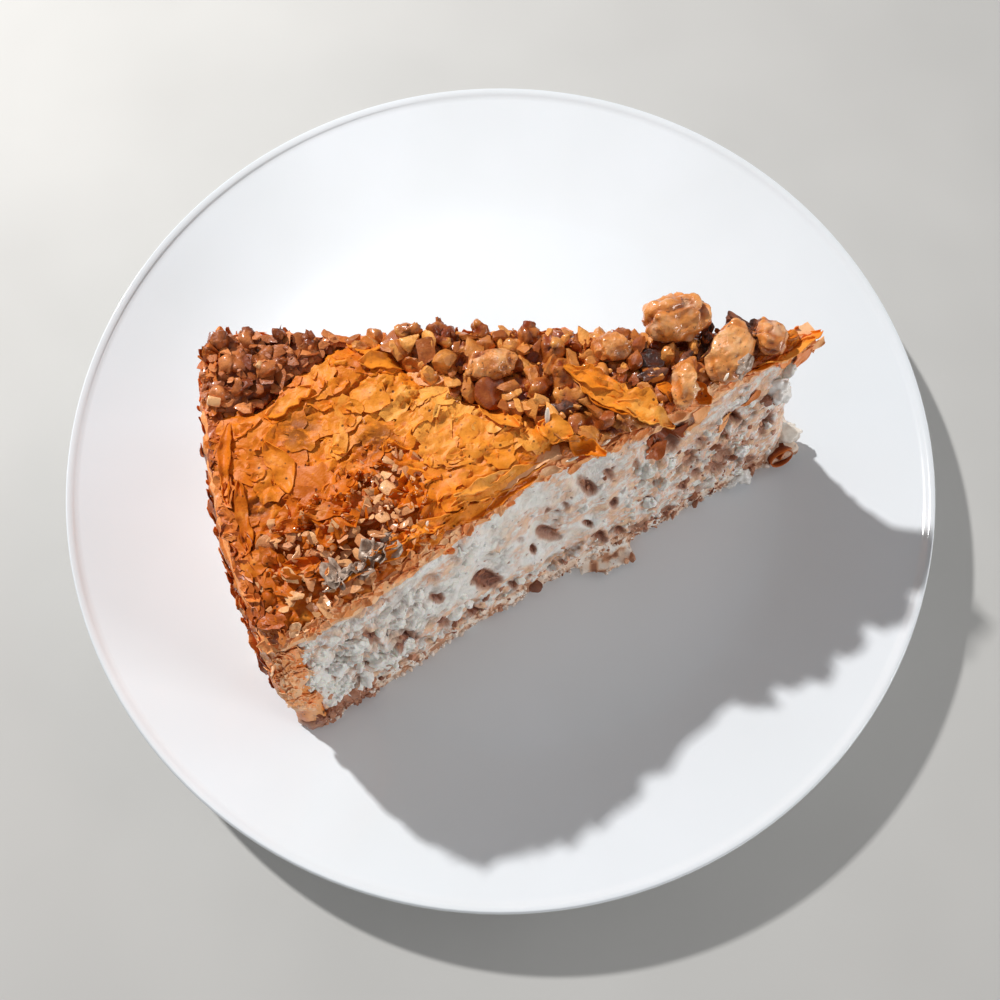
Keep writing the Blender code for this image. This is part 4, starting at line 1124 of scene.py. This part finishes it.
# Flaps that hang down the near cut: where they start and end, level, how far they hang, stand out, tone
hangingFlaps = [(3.8, 8.2, 63.4, 9.0, 1.2, 0.36), (0.6, 4.2, 63.6, 4.5, 0.9, 0.75),
                (9.5, 12.5, 63.8, 3.0, 0.9, 0.5), (30.5, 34.5, 64.0, 5.0, 1.4, 0.7)]
# Small torn flakes along the edges: how many, smallest and largest half length, how high they rise, and
# from where to where, as distances along a cut or turns round the back
edgeFlakes = {"near": (230, 0.7, 2.3, 0.6, (2, 129)), "far": (50, 1.0, 3.2, 0.6, (30, 118)),
              "back": (95, 1.2, 3.6, 0.6, (wedge["farTurn"], wedge["nearTurn"]))}
# Near edge flakes lighter than the far and back ones: painted light on the near side, which the lamps leave
# in shade
edgeTones = {"near": (0.55, 1.0), "far": (0.1, 0.62), "back": (0.1, 0.62)}
edgeCeiling = 77


def edgeLine(side, level):
    # Points where rays from outside meet the pastry, with the directions that they came from
    if side == "back":
        outs = [wayOf(turn) for turn in np.arange(wedge["farTurn"] - 1.6, wedge["nearTurn"] + 1.2, 0.42)]
        starts = [tip + out * (wedge["radius"] + 30) for out in outs]
    else:
        way, out, _ = cutSides[side]
        runs = np.arange(0.5, 134, 0.75) if side == "near" else np.arange(0.5, 129, 1.1)
        starts, outs = [tip + way * run + out * 30 for run in runs], [out] * len(runs)
    hits = [firstHit([fineTrees["layer"]], (*start[:2], level), -out) for start, out in zip(starts, outs)]
    spots = [np.array(hit[0]) for hit in hits if hit]
    return np.array(spots), np.array([out for hit, out in zip(hits, outs) if hit])


def leafRibbon(pile, spots, outs, level, inset, droop, reach, seed, tone):
    run = np.concatenate([[0], np.cumsum(np.linalg.norm(np.diff(spots, axis=0), axis=1))])
    line = np.stack([run, np.zeros(len(run)), np.full(len(run), level)], 1)
    hang = droop * (1 + 0.45 * lumps(line, 6, seed) + 0.5 * lumps(line, 1.9, seed + 1))
    hang *= 1 - 0.7 * smoothStep(0.45, 0.7, lumps(line, 3.1, seed + 2))
    reach = reach + 0.4 * lumps(line, 4, seed + 3) + 0.2 * lumps(line, 1.5, seed + 4)
    rise = 0.35 * lumps(line, 3, seed + 5)
    columns = [(-share * inset, height) for share, height in ribbonIn]
    columns += [(out + reach, fall * hang) for out, fall in ribbonOut]
    grid = []
    for k, (offset, height) in enumerate(columns):
        flutter = 0.22 * lumps(line + np.array([0, k * 0.7, 0]), 1.6, seed + 6)
        aside = outs * (offset + flutter)[:, None]
        grid.append(spots * np.array([1, 1, 0]) + aside + up * (level + rise + height)[:, None])
    grid = np.stack(grid, 1)
    pile.put(*sheetOf(grid.reshape(-1, 3), *grid.shape[:2], up, 0.16), tone)


def hangFlap(pile, start, end, level, drop, out, tone, seed):
    rows, columns = 12, max(6, int((end - start) / 0.4))
    along, down = np.meshgrid(np.linspace(0, 1, columns), np.linspace(0, 1, rows))
    line = np.stack([along.ravel() * (end - start), down.ravel() * drop, np.full(along.size, seed)], 1)
    waves = [lumps(line, size, seed + k).reshape(down.shape) for k, size in enumerate((1.3, 1.6, 2))]
    fall = down * drop * (1 - 0.4 * np.abs(2 * along - 1) ** 2 + 0.25 * waves[0])
    aside = out * (0.3 + 0.7 * np.sin(down * 2.2)) + 0.35 * waves[1]
    runs = start + along * (end - start) + 0.8 * (0.5 - along) * down + 0.3 * waves[2]
    points = tip + runs[..., None] * nearWay + aside[..., None] * nearOut + (level - fall)[..., None] * up
    pile.put(*sheetOf(points.reshape(-1, 3), rows, columns, nearOut, 0.2), tone)


def makeLeafEdges():
    pile = Pile()
    for k, (level, inset, droop, reach, tone) in enumerate(leafEdges):
        for number, side in enumerate(("near", "far", "back")):
            spots, outs = edgeLine(side, min(level, 65.0))
            # The near side lighter, painted light where the lamps leave it in shade; the far and back sides
            # darker
            shade = min(1, tone + 0.12) if side == "near" else tone - 0.28
            seed = 300 + 40 * k + 9 * number
            leafRibbon(pile, spots, outs, level, inset, droop, reach - 0.25 * k, seed, shade)
    for k, flap in enumerate(hangingFlaps):
        hangFlap(pile, *flap, 390 + 5 * k)
    pile.finish("leafEdges", leafMaterialWithPaintedLight, "crust", 50)
    return pile


def edgeSpot(side, place):
    # A spot on the line of that edge and the way out of it
    if side == "back":
        return tip + wayOf(place) * (wedge["radius"] - 4.5), wayOf(place)
    way, out, _ = cutSides[side]
    return tip + way * place, out


def strewEdges(trees):
    rng = np.random.default_rng(45)
    nearPile, backPile = Pile(), Pile()
    for side, (count, small, large, lift, span) in edgeFlakes.items():
        for _ in range(count):
            spot, out = edgeSpot(side, rng.uniform(*span))
            outward = unit(out * rng.uniform(0.35, 1.0) + up * rng.uniform(0.2, 1.1))
            start = spot - out * rng.uniform(-0.5, 2.5) + up * rng.uniform(64.4, 67.0) + outward * 25
            hit = firstHit(trees, start, -outward)
            if not hit:
                continue
            run, turn = np.cross(up, out), rng.normal(0, 0.6)
            along = run * math.cos(turn) + np.cross(outward, run) * math.sin(turn)
            long = small + (large - small) * rng.random() ** 1.4
            leaf = flake(trees, np.array(hit[0]), outward, along, long, long * rng.uniform(0.35, 0.75),
                         lift * rng.uniform(0.3, 1.2), rng, 0.25)
            if fits(leaf, 0, edgeCeiling):
                # Near flakes take the lighter leaf finish, which carries painted light; the others take the
                # crust finish
                (nearPile if side == "near" else backPile).put(*leaf, rng.uniform(*edgeTones[side]))
    nearPile.finish("edgeFlakes", leafMaterialWithPaintedLight, "crust", 50)
    backPile.finish("backFlakes", crustMaterial, "crust", 50)


edgePile = makeLeafEdges()
strewEdges([edgePile.tree(), *(fineTrees[name] for name in ("layer", "sheets", "nutBed", "cornerBed"))])


# Scales of pastry on the wall, and leaves in the near cut

# How many, smallest and largest half length, how high they rise
wallScales = {"tall": (66, 2.5, 5.0, 0.5), "small": (120, 1.0, 2.4, 0.4)}
# The same where the near cut shows the end of the wall
endScales = {"tall": (64, 2.0, 4.4, 0.45), "small": (60, 0.8, 1.9, 0.4)}
# Lowest and highest point that a scale may reach
scaleHeights = {"wall": (14, 62.4), "end": (13.4, 64)}
# Browned leaves in the near cut: place along it and height, half length, half width, turn, how far out, tone
sideLeaves = [(38.3, 48.2, 4.8, 3.3, 50, 0.3, 0.16), (41.0, 45.2, 2.6, 1.8, 20, 0.5, 0.3),
              (33.0, 51.0, 3.2, 0.9, 60, 0.9, 0.85), (24.0, 44.5, 2.6, 1.4, 40, 0.7, 0.8),
              (18.0, 49.0, 2.8, 1.3, 55, 0.6, 0.55), (6.0, 38.5, 3.0, 1.3, 65, 0.7, 0.7)]


def crustLimit(h):
    # How far along the near cut the cheese spreads over the end of the wall
    return 131.4 - 6.5 * smoothStep(28, 56, h)


def makeWallScales(rng):
    pile, trees = Pile(), [fineTrees["wall"]]
    for count, small, large, lift in wallScales.values():
        for _ in range(count):
            way = wayOf(rng.uniform(wedge["farTurn"] + 0.5, wedge["nearTurn"] + 0.2))
            hit = firstHit(trees, (*(tip + way * 170)[:2], rng.uniform(15, 60)), -way)
            if not hit:
                continue
            tall = rng.uniform(small, large)
            along = unit(up * 0.95 + np.cross(up, way) * rng.normal(0, 0.3))
            leaf = flake(trees, np.array(hit[0]), way, along, tall, tall * rng.uniform(0.3, 0.6), lift, rng)
            if fits(leaf, *scaleHeights["wall"]):
                pile.put(*leaf, rng.uniform(0.2, 0.8))
    pile.finish("wallScales", crustMaterial, "crust", 50)


def makeEndScales(rng):
    pile, trees = Pile(), [fineTrees["wall"], fineTrees["cheese"]]
    for count, small, large, lift in endScales.values():
        for _ in range(count):
            level = rng.uniform(24, 62)
            limit = crustLimit(level - wedge["floor"]) + 0.4
            spot = tip + nearWay * (limit + (133.0 - limit) * rng.random()) + up * level
            outward = unit(nearOut + nearWay * rng.uniform(-0.1, 1.0))
            hit = firstHit(trees, spot + outward * 40, -outward)
            if not hit:
                continue
            along = unit(up - outward * outward[2] + np.cross(outward, up) * rng.normal(0, 0.25))
            tall = rng.uniform(small, large)
            wide = tall * rng.uniform(0.3, 0.6)
            leaf = flake(trees, np.array(hit[0]), outward, along, tall, wide, lift, rng, 0.2)
            if fits(leaf, *scaleHeights["end"]):
                # High tones in the lighter leaf finish: paler pastry at the end of the wall, with painted
                # light where the near cut is in shade
                pile.put(*leaf, rng.uniform(0.6, 1.0))
    pile.finish("endScales", leafMaterialWithPaintedLight, "crust", 50)


def makeSideLeaves(rng):
    pile, trees = Pile(), [fineTrees["cheese"]]
    for s, h, long, wide, turn, rise, tone in sideLeaves:
        centre = np.array(hitCut(trees, "near", s, h)[0]) + nearOut * rise
        along = -nearWay * math.cos(math.radians(turn)) + up * math.sin(math.radians(turn))
        leaf = flake(trees, centre, nearOut, along, long, wide, 0.5, rng, 0.3)
        if leaf is not None:
            pile.put(*leaf, tone)
    pile.finish("sideLeaves", crustMaterial, "crust", 50)


scaleDraws = np.random.default_rng(51)
makeWallScales(scaleDraws)
makeEndScales(scaleDraws)
makeSideLeaves(np.random.default_rng(55))


# Nuts and curds that stand in the cut sides

print("Cut sides")
# How many, smallest and largest half size
cutNuts = {"large": (34, 1.5, 2.9), "middle": (90, 0.8, 1.5), "crumbs": (170, 0.3, 0.8)}
cutCurds = {"large": (120, 1.0, 2.8), "small": (150, 0.4, 1.0)}
baseCrumbs = {"large": (80, 1.0, 1.9), "middle": (260, 0.5, 1.0), "crumbs": (560, 0.22, 0.5)}
footBeads = {"large": (40, 0.6, 0.95), "small": (110, 0.3, 0.6)}
baseNuts = {"large": (60, 1.6, 3.0), "middle": (110, 0.7, 1.5)}


def pitPlace(s, h):
    slant = cheeseForm["slant"]
    pits = sum(np.exp(-((s - s0) / wide) ** 2 - ((h - h0 - slant * (s - s0)) / tall) ** 2)
               for s0, h0, wide, tall, _, _ in cheesePits)
    return np.minimum(1, pits)


def clearOfPits(s, h):
    return 1.01 - np.minimum(1, 1.6 * pitPlace(s, h))


def nutChance(s, h):
    # More nuts towards the pointed end and down at the base
    tipEnd = 0.8 * smoothStep(48, 20, s) * smoothStep(50, 42, h)
    return 0.01 + tipEnd + 0.75 * bell(h, 8, 5) + 0.8 * pitPlace(s, h)


def curdChance(s, h):
    left = hill(s, h, 112, 28, 17, 24) * smoothStep(131, 128, s)
    seam, low = 0.9 * bell(s, 46, 3), 0.8 * bell(h, 6, 4)
    return clearOfPits(s, h) * ((0.05 + left + seam + low + 0.4 * bell(s, 14, 12)) * smoothStep(130, 128, s))


def coverChance(s, h):
    # Cheese smeared over the end of the wall
    limit = crustLimit(h)
    over = smoothStep(122.5, 124.5, s) * smoothStep(limit + 0.4, limit - 0.6, s)
    return clearOfPits(s, h) * (over * smoothStep(9, 12, h))


def baseChance(s, h):
    # Thicker and browner towards the pointed end, and a dark lump at the other end
    top = 5 + 5 * smoothStep(14, 34, s) * smoothStep(56, 42, s) + 6 * smoothStep(117, 123, s)
    share = 0.03 + smoothStep(62, 46, s) + 2.5 * smoothStep(117, 122, s)
    return smoothStep(top + 0.5, top - 0.5, h) * share


def lumpChance(s, h):
    # The browned lump at the foot of the wall's end
    return smoothStep(119, 121.5, s) * smoothStep(13 - 0.3 * (s - 120), 11 - 0.3 * (s - 120), h)


def anywhere(s, h):
    return s * 0 + 1.0


def strewSide(pile, kinds, chance, side, seed, tones, rise, heights=(7.5, 55), flat=0.62, cuts=6):
    # Bits that stand a little out of a cut side
    rng = np.random.default_rng(seed)
    trees = [fineTrees["cheese"], fineTrees["base"], fineTrees["wall"]]
    _, out, end = cutSides[side]
    for count, small, large in kinds.values():
        s, h = rng.uniform(1, end, count * 25), rng.uniform(*heights, count * 25)
        share = chance(s, h)
        for k in rng.choice(len(s), count, replace=False, p=share / share.sum()):
            hit = hitCut(trees, side, s[k], h[k])
            if not hit:
                continue
            size = small + (large - small) * rng.random() ** 1.8
            spot = np.array(hit[0]) + out * size * rng.uniform(*rise)
            if spot[2] - size < wedge["floor"] + 0.2 or spot[2] + 0.8 * size > wedge["fillingTop"] - 0.2:
                continue
            points, faces = nutBit(size, rng, cuts, flat)
            pile.put(points + spot, faces, rng.uniform(*tones))


sideNuts, curdPile, crumbPile, beadPile, lowNuts = Pile(), Pile(), Pile(), Pile(), Pile()
strewSide(sideNuts, cutNuts, nutChance, "near", 31, (0.1, 0.9), (-0.55, 0.0))
strewSide(sideNuts, {"some": (60, 0.7, 2.2)}, nutChance, "far", 32, (0.1, 0.9), (-0.5, 0.1))
strewSide(curdPile, cutCurds, curdChance, "near", 33, (0.2, 1.0), (-0.6, 0.1), cuts=2)
strewSide(curdPile, {"cover": (110, 1.0, 2.6)}, coverChance, "near", 39, (0.2, 1.0), (-0.6, -0.1),
          flat=0.45, cuts=3)
strewSide(curdPile, {"some": (120, 0.4, 1.3)}, curdChance, "far", 34, (0.2, 1.0), (-0.5, 0.1), cuts=2)
strewSide(crumbPile, baseCrumbs, anywhere, "near", 35, (0.0, 1.0), (-0.75, 0.0), (0.6, 6.4))
strewSide(crumbPile, {"some": (300, 0.3, 1.1)}, anywhere, "far", 36, (0.0, 1.0), (-0.5, 0.2), (0.6, 6.4))
strewSide(beadPile, footBeads, anywhere, "near", 37, (0.3, 1.0), (0.1, 0.6), (0.9, 4.5), 0.8, 0)
strewSide(lowNuts, baseNuts, baseChance, "near", 38, (0.0, 0.75), (-0.45, 0.1), (1.5, 11.5), 0.4, 9)
strewSide(lowNuts, {"lump": (110, 1.2, 2.7)}, lumpChance, "near", 40, (0.1, 0.7), (-0.6, 0.0),
          (1.5, 13), 0.4, 8)
lowNuts.finish("baseNuts", boiledMaterial, "nut_base", 32)
sideNuts.finish("nutsInCheese", boiledMaterial, "nut", 42)
curdPile.finish("curds", cheeseMaterial, "cheese")
crumbPile.finish("baseCrumbs", baseMaterial, "nut_base", 40)


# Syrup beads, almond slivers, grey pieces, a painted highlight, dark skins and painted shade in the gaps

print("Single pieces")


def glazeFinish(name, shade, dark, coat, coatRoughness):
    def look(tone):
        glaze = tone.cloud(1.6, 3).ramp({0.35: dark, 0.65: shade})
        return glaze, tone.cloud(1.0, 3) * 0.3 + 0.15, tone.cloud(0.5, 3).bump(0.12)
    return makeFinish(name, look, {"Coat Weight": coat, "Coat Roughness": coatRoughness})


beadMaterial = glazeFinish("paleSyrup", (246, 234, 222), (214, 186, 166), 0.7, 0.06)
almondMaterial = glazeFinish("almond", (255, 244, 228), (246, 222, 192), 0.4, 0.1)
creamMaterial = glazeFinish("smoothCream", (252, 244, 232), (236, 222, 206), 0.3, 0.2)
# A brighter copy of the cream for the first lumps on the near cut: painted light
litCreamMaterial = glazeFinish("paintedLitCream", (255, 253, 250), (244, 238, 230), 0.2, 0.3)
greyMaterial = glazeFinish("greyGlaze", (218, 194, 174), (150, 118, 98), 0.3, 0.15)
# Dark skins, and the same finish as painted shade in the gaps between the walnuts
skinAndShadeMaterial = glazeFinish("darkSkin", (144, 86, 60), (58, 26, 16), 0.4, 0.16)
beadPile.finish("footBeads", beadMaterial, "cheese")

# Where each lies, the turn of its length, slope, half length, half width, half thickness
slivers = [((9.0, -14.6, 72), 92, 50, 1.9, 0.5, 0.35), ((39.4, -12.2, 56.2), 31, -55, 1.7, 0.6, 0.35),
           ((20.7, -18.0, 67), 30, 15, 1.1, 0.35, 0.3), ((44.0, -6.4, 68), 60, 35, 1.0, 0.3, 0.3),
           ((14.0, -21.5, 67), 20, 10, 1.4, 0.3, 0.25), ((-14.0, -36.0, 70), 60, 40, 1.2, 0.35, 0.3)]
greyBits = [((48.0, -3.6, 72), 60, 35, 1.3, 0.7, 0.3), ((-48.5, 1.5, 70), 130, 10, 1.5, 0.7, 0.4)]
# Dark skins round the walnuts, and dark pieces in the gaps between them, which are painted shade
skins = [((40.6, 1.0, 69), 75, 10, 2.9, 1.3, 0.8), ((41.6, 4.4, 72), 60, 5, 2.6, 0.7, 0.5),
         ((46.8, 5.2, 73), 150, 10, 2.8, 0.7, 0.4), ((50.2, 2.2, 72), 105, 15, 2.8, 0.7, 0.4),
         ((51.4, 6.0, 72), 30, 20, 1.6, 0.8, 0.5), ((11.4, -12.2, 69), 25, 5, 2.4, 1.2, 0.5),
         ((30.0, -5.4, 70), 15, 5, 2.6, 1.0, 0.5), ((36.6, -2.4, 70), 60, 0, 2.4, 1.1, 0.5)]
# The torn grey pieces in a row in the crumb patch: ends, how many, smallest and largest half length
greyRidge = {"start": (-31.5, -48.6), "end": (-20.5, -39.2), "count": 16, "low": 1.0, "high": 2.6}
# A pale grey sheet that hugs the second walnut: a painted highlight on its glaze
paintedHighlightPatch = {"centre": (47.6, -4.4, 73.0), "outward": (0.2, -0.55, 0.81), "along": (0.5, 0.76, 0.39),
             "long": 2.9, "wide": 1.8, "lift": 0.15}
# Pale cubes of nut: place and half size
paleCubes = [(-55.9, -11.0, 1.2), (-47.5, -3.5, 0.7), (-26.0, -44.6, 0.9), (-12.8, 1.0, 1.0)]

kernelTrees = [kernel.tree() for kernel in kernels]
topTrees = [fineTrees["sheets"], fineTrees["nutBed"], fineTrees["cornerBed"], bandPile.tree(),
            patchPile.tree(), goldPile.tree(), *kernelTrees]


def lay(pile, pieces, detail, rough, seed, sink=0.2):
    # Long rounded bits, each at its own place and slope, sunk into the top by a share of their height
    rng = np.random.default_rng(seed)
    for (x, y, level), turn, slope, long, wide, thick in pieces:
        hit = hitDown(topTrees, x, y)
        ground = hit[0].z if hit and hit[0].z > level - 5 else level
        points, faces = balls[detail]
        shift = rng.uniform(0, 99)
        points = points * (1 + rough * lumps(points + shift, 0.6, seed))[:, None]
        points = points * np.array([long, wide, thick])
        way = Euler((0, -math.radians(slope), math.radians(turn)))
        rise = long * math.sin(math.radians(abs(slope))) + thick
        points = points @ np.array(way.to_matrix()).T + np.array([x, y, ground + rise * (1 - sink) - 0.3])
        pile.put(points, faces, rng.uniform(0.3, 0.9))


def layRidge(pile, rng):
    form = greyRidge
    for share in np.linspace(0, 1, form["count"]):
        x, y = np.array(form["start"]) * (1 - share) + np.array(form["end"]) * share + rng.normal(0, 0.6, 2)
        long = rng.uniform(form["low"], form["high"])
        out = unit(up + 0.35 * rng.normal(size=3))
        along = unit(np.cross(np.cross(out, wayOf(40 + rng.normal(0, 25))), out))
        leaf = flake(topTrees, np.array([x, y, 69.5]), out, along, long, 0.5 * long, 0.9, rng, 0.3)
        if leaf is not None:
            pile.put(leaf[0] + up * rng.uniform(0, 0.7), leaf[1], 0.5)


def layHighlightPatch(pile, rng):
    form = paintedHighlightPatch
    centre, outward, along = (np.array(form[name]) for name in ("centre", "outward", "along"))
    leaf = flake([kernelTrees[1]], centre, outward, along, form["long"], form["wide"], form["lift"], rng, 0.5)
    if leaf is not None:
        pile.put(*leaf, 0.5)


def makeCubes():
    pile, trees = Pile(), topTrees + [cornerPile.tree()]
    for x, y, size in paleCubes:
        ground = hitDown(trees, x, y)
        if ground:
            points, faces = balls[3]
            cube = 0.8 * points / np.abs(points).max(1, keepdims=True) + 0.2 * points
            cube = cube * (1 + 0.12 * lumps(points + x, 0.7, 66))[:, None] * np.array([1, 0.8, 0.7])
            turn = np.array(Euler((0.5, 0.4, 0.9 * x)).to_matrix())
            pile.put((size * cube) @ turn.T + np.array(ground[0]) + up * 0.3 * size, faces, 1.0)
    pile.finish("paleCubes", crumbMaterial, "nut", 40)


def makeSinglePieces():
    rng = np.random.default_rng(64)
    almondPile, greyPile, skinAndShadePile = Pile(), Pile(), Pile()
    lay(almondPile, slivers, 3, 0.1, 61)
    lay(greyPile, greyBits, 3, 0.4, 62, 0.45)
    layRidge(greyPile, rng)
    lay(skinAndShadePile, skins, 4, 0.6, 63, 0.8)
    for (x, y, _), turn, _, long, _, _ in skins[:5]:
        leaf = flake(topTrees, np.array([x, y, 72.0]), up, wayOf(turn), long, 1.2, 0.3, rng, 0.3)
        if fits(leaf, 0, 77.2):
            skinAndShadePile.put(*leaf, 0.5)
    # The painted highlight on the second walnut
    layHighlightPatch(greyPile, rng)
    makeCubes()
    skinAndShadePile.finish("darkSkinsAndGapShade", skinAndShadeMaterial, "nut", 50)
    almondPile.finish("almondSlivers", almondMaterial, "nut")
    greyPile.finish("greyBits", greyMaterial, "nut")


makeSinglePieces()


# Cream, and the rolled piece of pastry at the foot of the pointed end

# Place along the near cut, height and half sizes of the lumps of cheese that stand out of it, first those
# that take the brighter copy of the cream, which is painted light
creamBlobs = [(10.2, 45.2, (3.0, 2.3, 4.2)), (10.8, 3.4, (2.7, 2.2, 2.1)), (14.2, 2.6, (1.4, 1.2, 1.2)),
              (38.8, 29.5, (1.2, 0.9, 3.0)), (41.0, 20.5, (1.4, 1.0, 2.6)), (37.4, 38.0, (1.0, 0.8, 2.4)),
              (15.6, 23.5, (1.6, 1.0, 2.4)), (13.2, 8.0, (1.5, 1.1, 1.5)), (114.8, 24.7, (2.6, 1.6, 3.0)),
              (107.5, 37.4, (2.0, 1.4, 2.6)), (116.8, 41.4, (2.2, 1.3, 3.0)), (108.1, 18.5, (1.8, 1.3, 2.4)),
              (123.2, 32.3, (1.8, 1.2, 2.8)), (101.0, 44.0, (1.6, 1.1, 2.4)), (89.0, 48.5, (1.4, 0.9, 2.6))]
# How many of the first lumps take the brighter copy of the cream, painted light
litLumpCount = 3
# The smooth one on the curl at the foot of the pointed end
footCream = {"centre": (75.2, 4.6, 13.4), "size": (4.3, 2.6, 2.3)}
curlForm = {"centre": (74.4, 0.0, 10.4), "axis": (0.36, -0.68, 0.62), "radius": 4.2, "inner": 0.8,
            "turns": 1.7, "length": 6.4, "rows": 70, "columns": 16, "thick": 0.3}


def creamBlob(centre, size, seed, spikes):
    # A small torn lump of the cheese
    points, faces = balls[4]
    shape = 1 + spikes * roughness(points, 0.7, seed, 3) + 0.25 * np.maximum(0, ridges(points, 0.5, seed + 5))
    return points * shape[:, None] * np.array(size) + np.array(centre), faces


def makeCream():
    pile, litLumpPile, footPile = Pile(), Pile(), Pile()
    for k, (s, h, size) in enumerate(creamBlobs):
        # The first lumps take the brighter copy of the cream: painted light
        white = k < litLumpCount
        hit = hitCut([fineTrees["cheese"], fineTrees["base"]], "near", s, h)
        points, faces = creamBlob((0, 0, 0), size, 70 + k, 0.5 if white else 0.35)
        (litLumpPile if white else pile).put(points + np.array(hit[0]) + nearOut * 0.2, faces, 0.5)
    pile.finish("creamLumps", cheeseMaterial, "cheese")
    litLumpPile.finish("paintedLitLumps", litCreamMaterial, "cheese")
    footPile.put(*creamBlob(footCream["centre"], footCream["size"], 95, 0.14), 0.5)
    footPile.finish("footCream", creamMaterial, "cheese")


def makeCurl():
    form, pile = curlForm, Pile()
    share = np.linspace(0, 1, form["rows"])
    angle = 1.2 + share * math.tau * form["turns"]
    radius = form["radius"] + (form["inner"] - form["radius"]) * share
    along = unit(np.array(form["axis"]))
    across = unit(np.cross(up, along))
    over = np.cross(along, across)
    grid, tones = [], []
    for k in np.linspace(-0.5, 0.5, form["columns"]):
        line = np.stack([share * 9, share * 0 + 4 * k, share * 0], 1)
        ragged = k * form["length"] + 1.3 * lumps(line, 1.6, 80) - 1.2 * share
        wide = radius * (1 + 0.22 * lumps(line, 1.6, 81) + 0.08 * lumps(line, 0.6, 83))
        spots = np.array(form["centre"]) + along * ragged[:, None]
        spots = spots + across * (1.2 * wide * np.cos(angle))[:, None]
        grid.append(spots + over * (0.8 * wide * np.sin(angle))[:, None])
        tones.append(0.05 + 0.9 * max(0, 2 * k - 0.6) + 0.14 * lumps(line, 1.0, 82))
    points = np.stack(grid, 1).reshape(-1, 3)
    points[:, 2] = np.maximum(points[:, 2], wedge["floor"] + 0.5)
    sheet = thicken(points, gridFaces(form["rows"], form["columns"]), form["thick"])
    pile.put(*sheet, np.tile(np.stack(tones, 1).ravel(), 2))
    pile.finish("footCurl", crustMaterial, "nut_base", 50)


makeCream()
makeCurl()


# Floor, light and camera

print("Floor, light and camera")
studio = {"floor": (206, 205, 202), "floorDark": (200, 199, 196), "floorSize": 6, "world": 0.27}
# Way to the lamp, how far away, watts, size and tint
lamps = {"keyLight": ((-0.50, 0.46, 0.70), 0.65, 4.05, 0.024, (1.0, 0.99, 0.98)),
         "frontFill": ((0.95, -0.4, 0.2), 0.9, 2.9, 0.3, (1.0, 0.975, 0.95)),
         "rightBounce": ((0.80, 0.30, 0.50), 1.2, 1.0, 0.6, (1.0, 1.0, 1.0))}
view = {"lens": 30.6, "place": (-0.00013, -0.07658, 0.22460), "down": 73.47}


def floorLook(tone):
    return [tone.cloud(60, 2).ramp({0.3: studio["floorDark"], 0.7: studio["floor"]})]


def makeStage():
    bpy.ops.mesh.primitive_plane_add(size=studio["floorSize"], location=(0, 0, -0.0001))
    floor = bpy.context.object
    floor.name = "paleFloor"
    floor.data.materials.append(makeFinish("paleFloor", floorLook, {"Roughness": 0.7}))
    world = bpy.data.worlds.new("softStudio")
    world.use_nodes = True
    world.node_tree.nodes["Background"].inputs["Color"].default_value = (0.97, 0.98, 1.0, 1.0)
    world.node_tree.nodes["Background"].inputs["Strength"].default_value = studio["world"]
    bpy.context.scene.world = world


def addLight(name, way, distance, watts, size, tint):
    lamp = bpy.data.lights.new(name, "AREA")
    lamp.energy = watts
    lamp.size = size
    lamp.color = tint
    thing = bpy.data.objects.new(name, lamp)
    bpy.context.scene.collection.objects.link(thing)
    way = Vector(way).normalized()
    thing.location = way * distance + Vector((0, 0, 0.03))
    thing.rotation_euler = way.to_track_quat("Z", "Y").to_euler()


def makeCamera():
    camera = bpy.data.cameras.new("photoView")
    camera.lens = view["lens"]
    camera.sensor_width = 36
    camera.clip_start = 0.01
    thing = bpy.data.objects.new("photoView", camera)
    thing.location = view["place"]
    thing.rotation_euler = (math.radians(90 - view["down"]), 0, 0)
    bpy.context.scene.collection.objects.link(thing)
    bpy.context.scene.camera = thing


makeStage()
for name, lamp in lamps.items():
    addLight(name, *lamp)
makeCamera()
bpy.context.scene.view_settings.view_transform = "Standard"
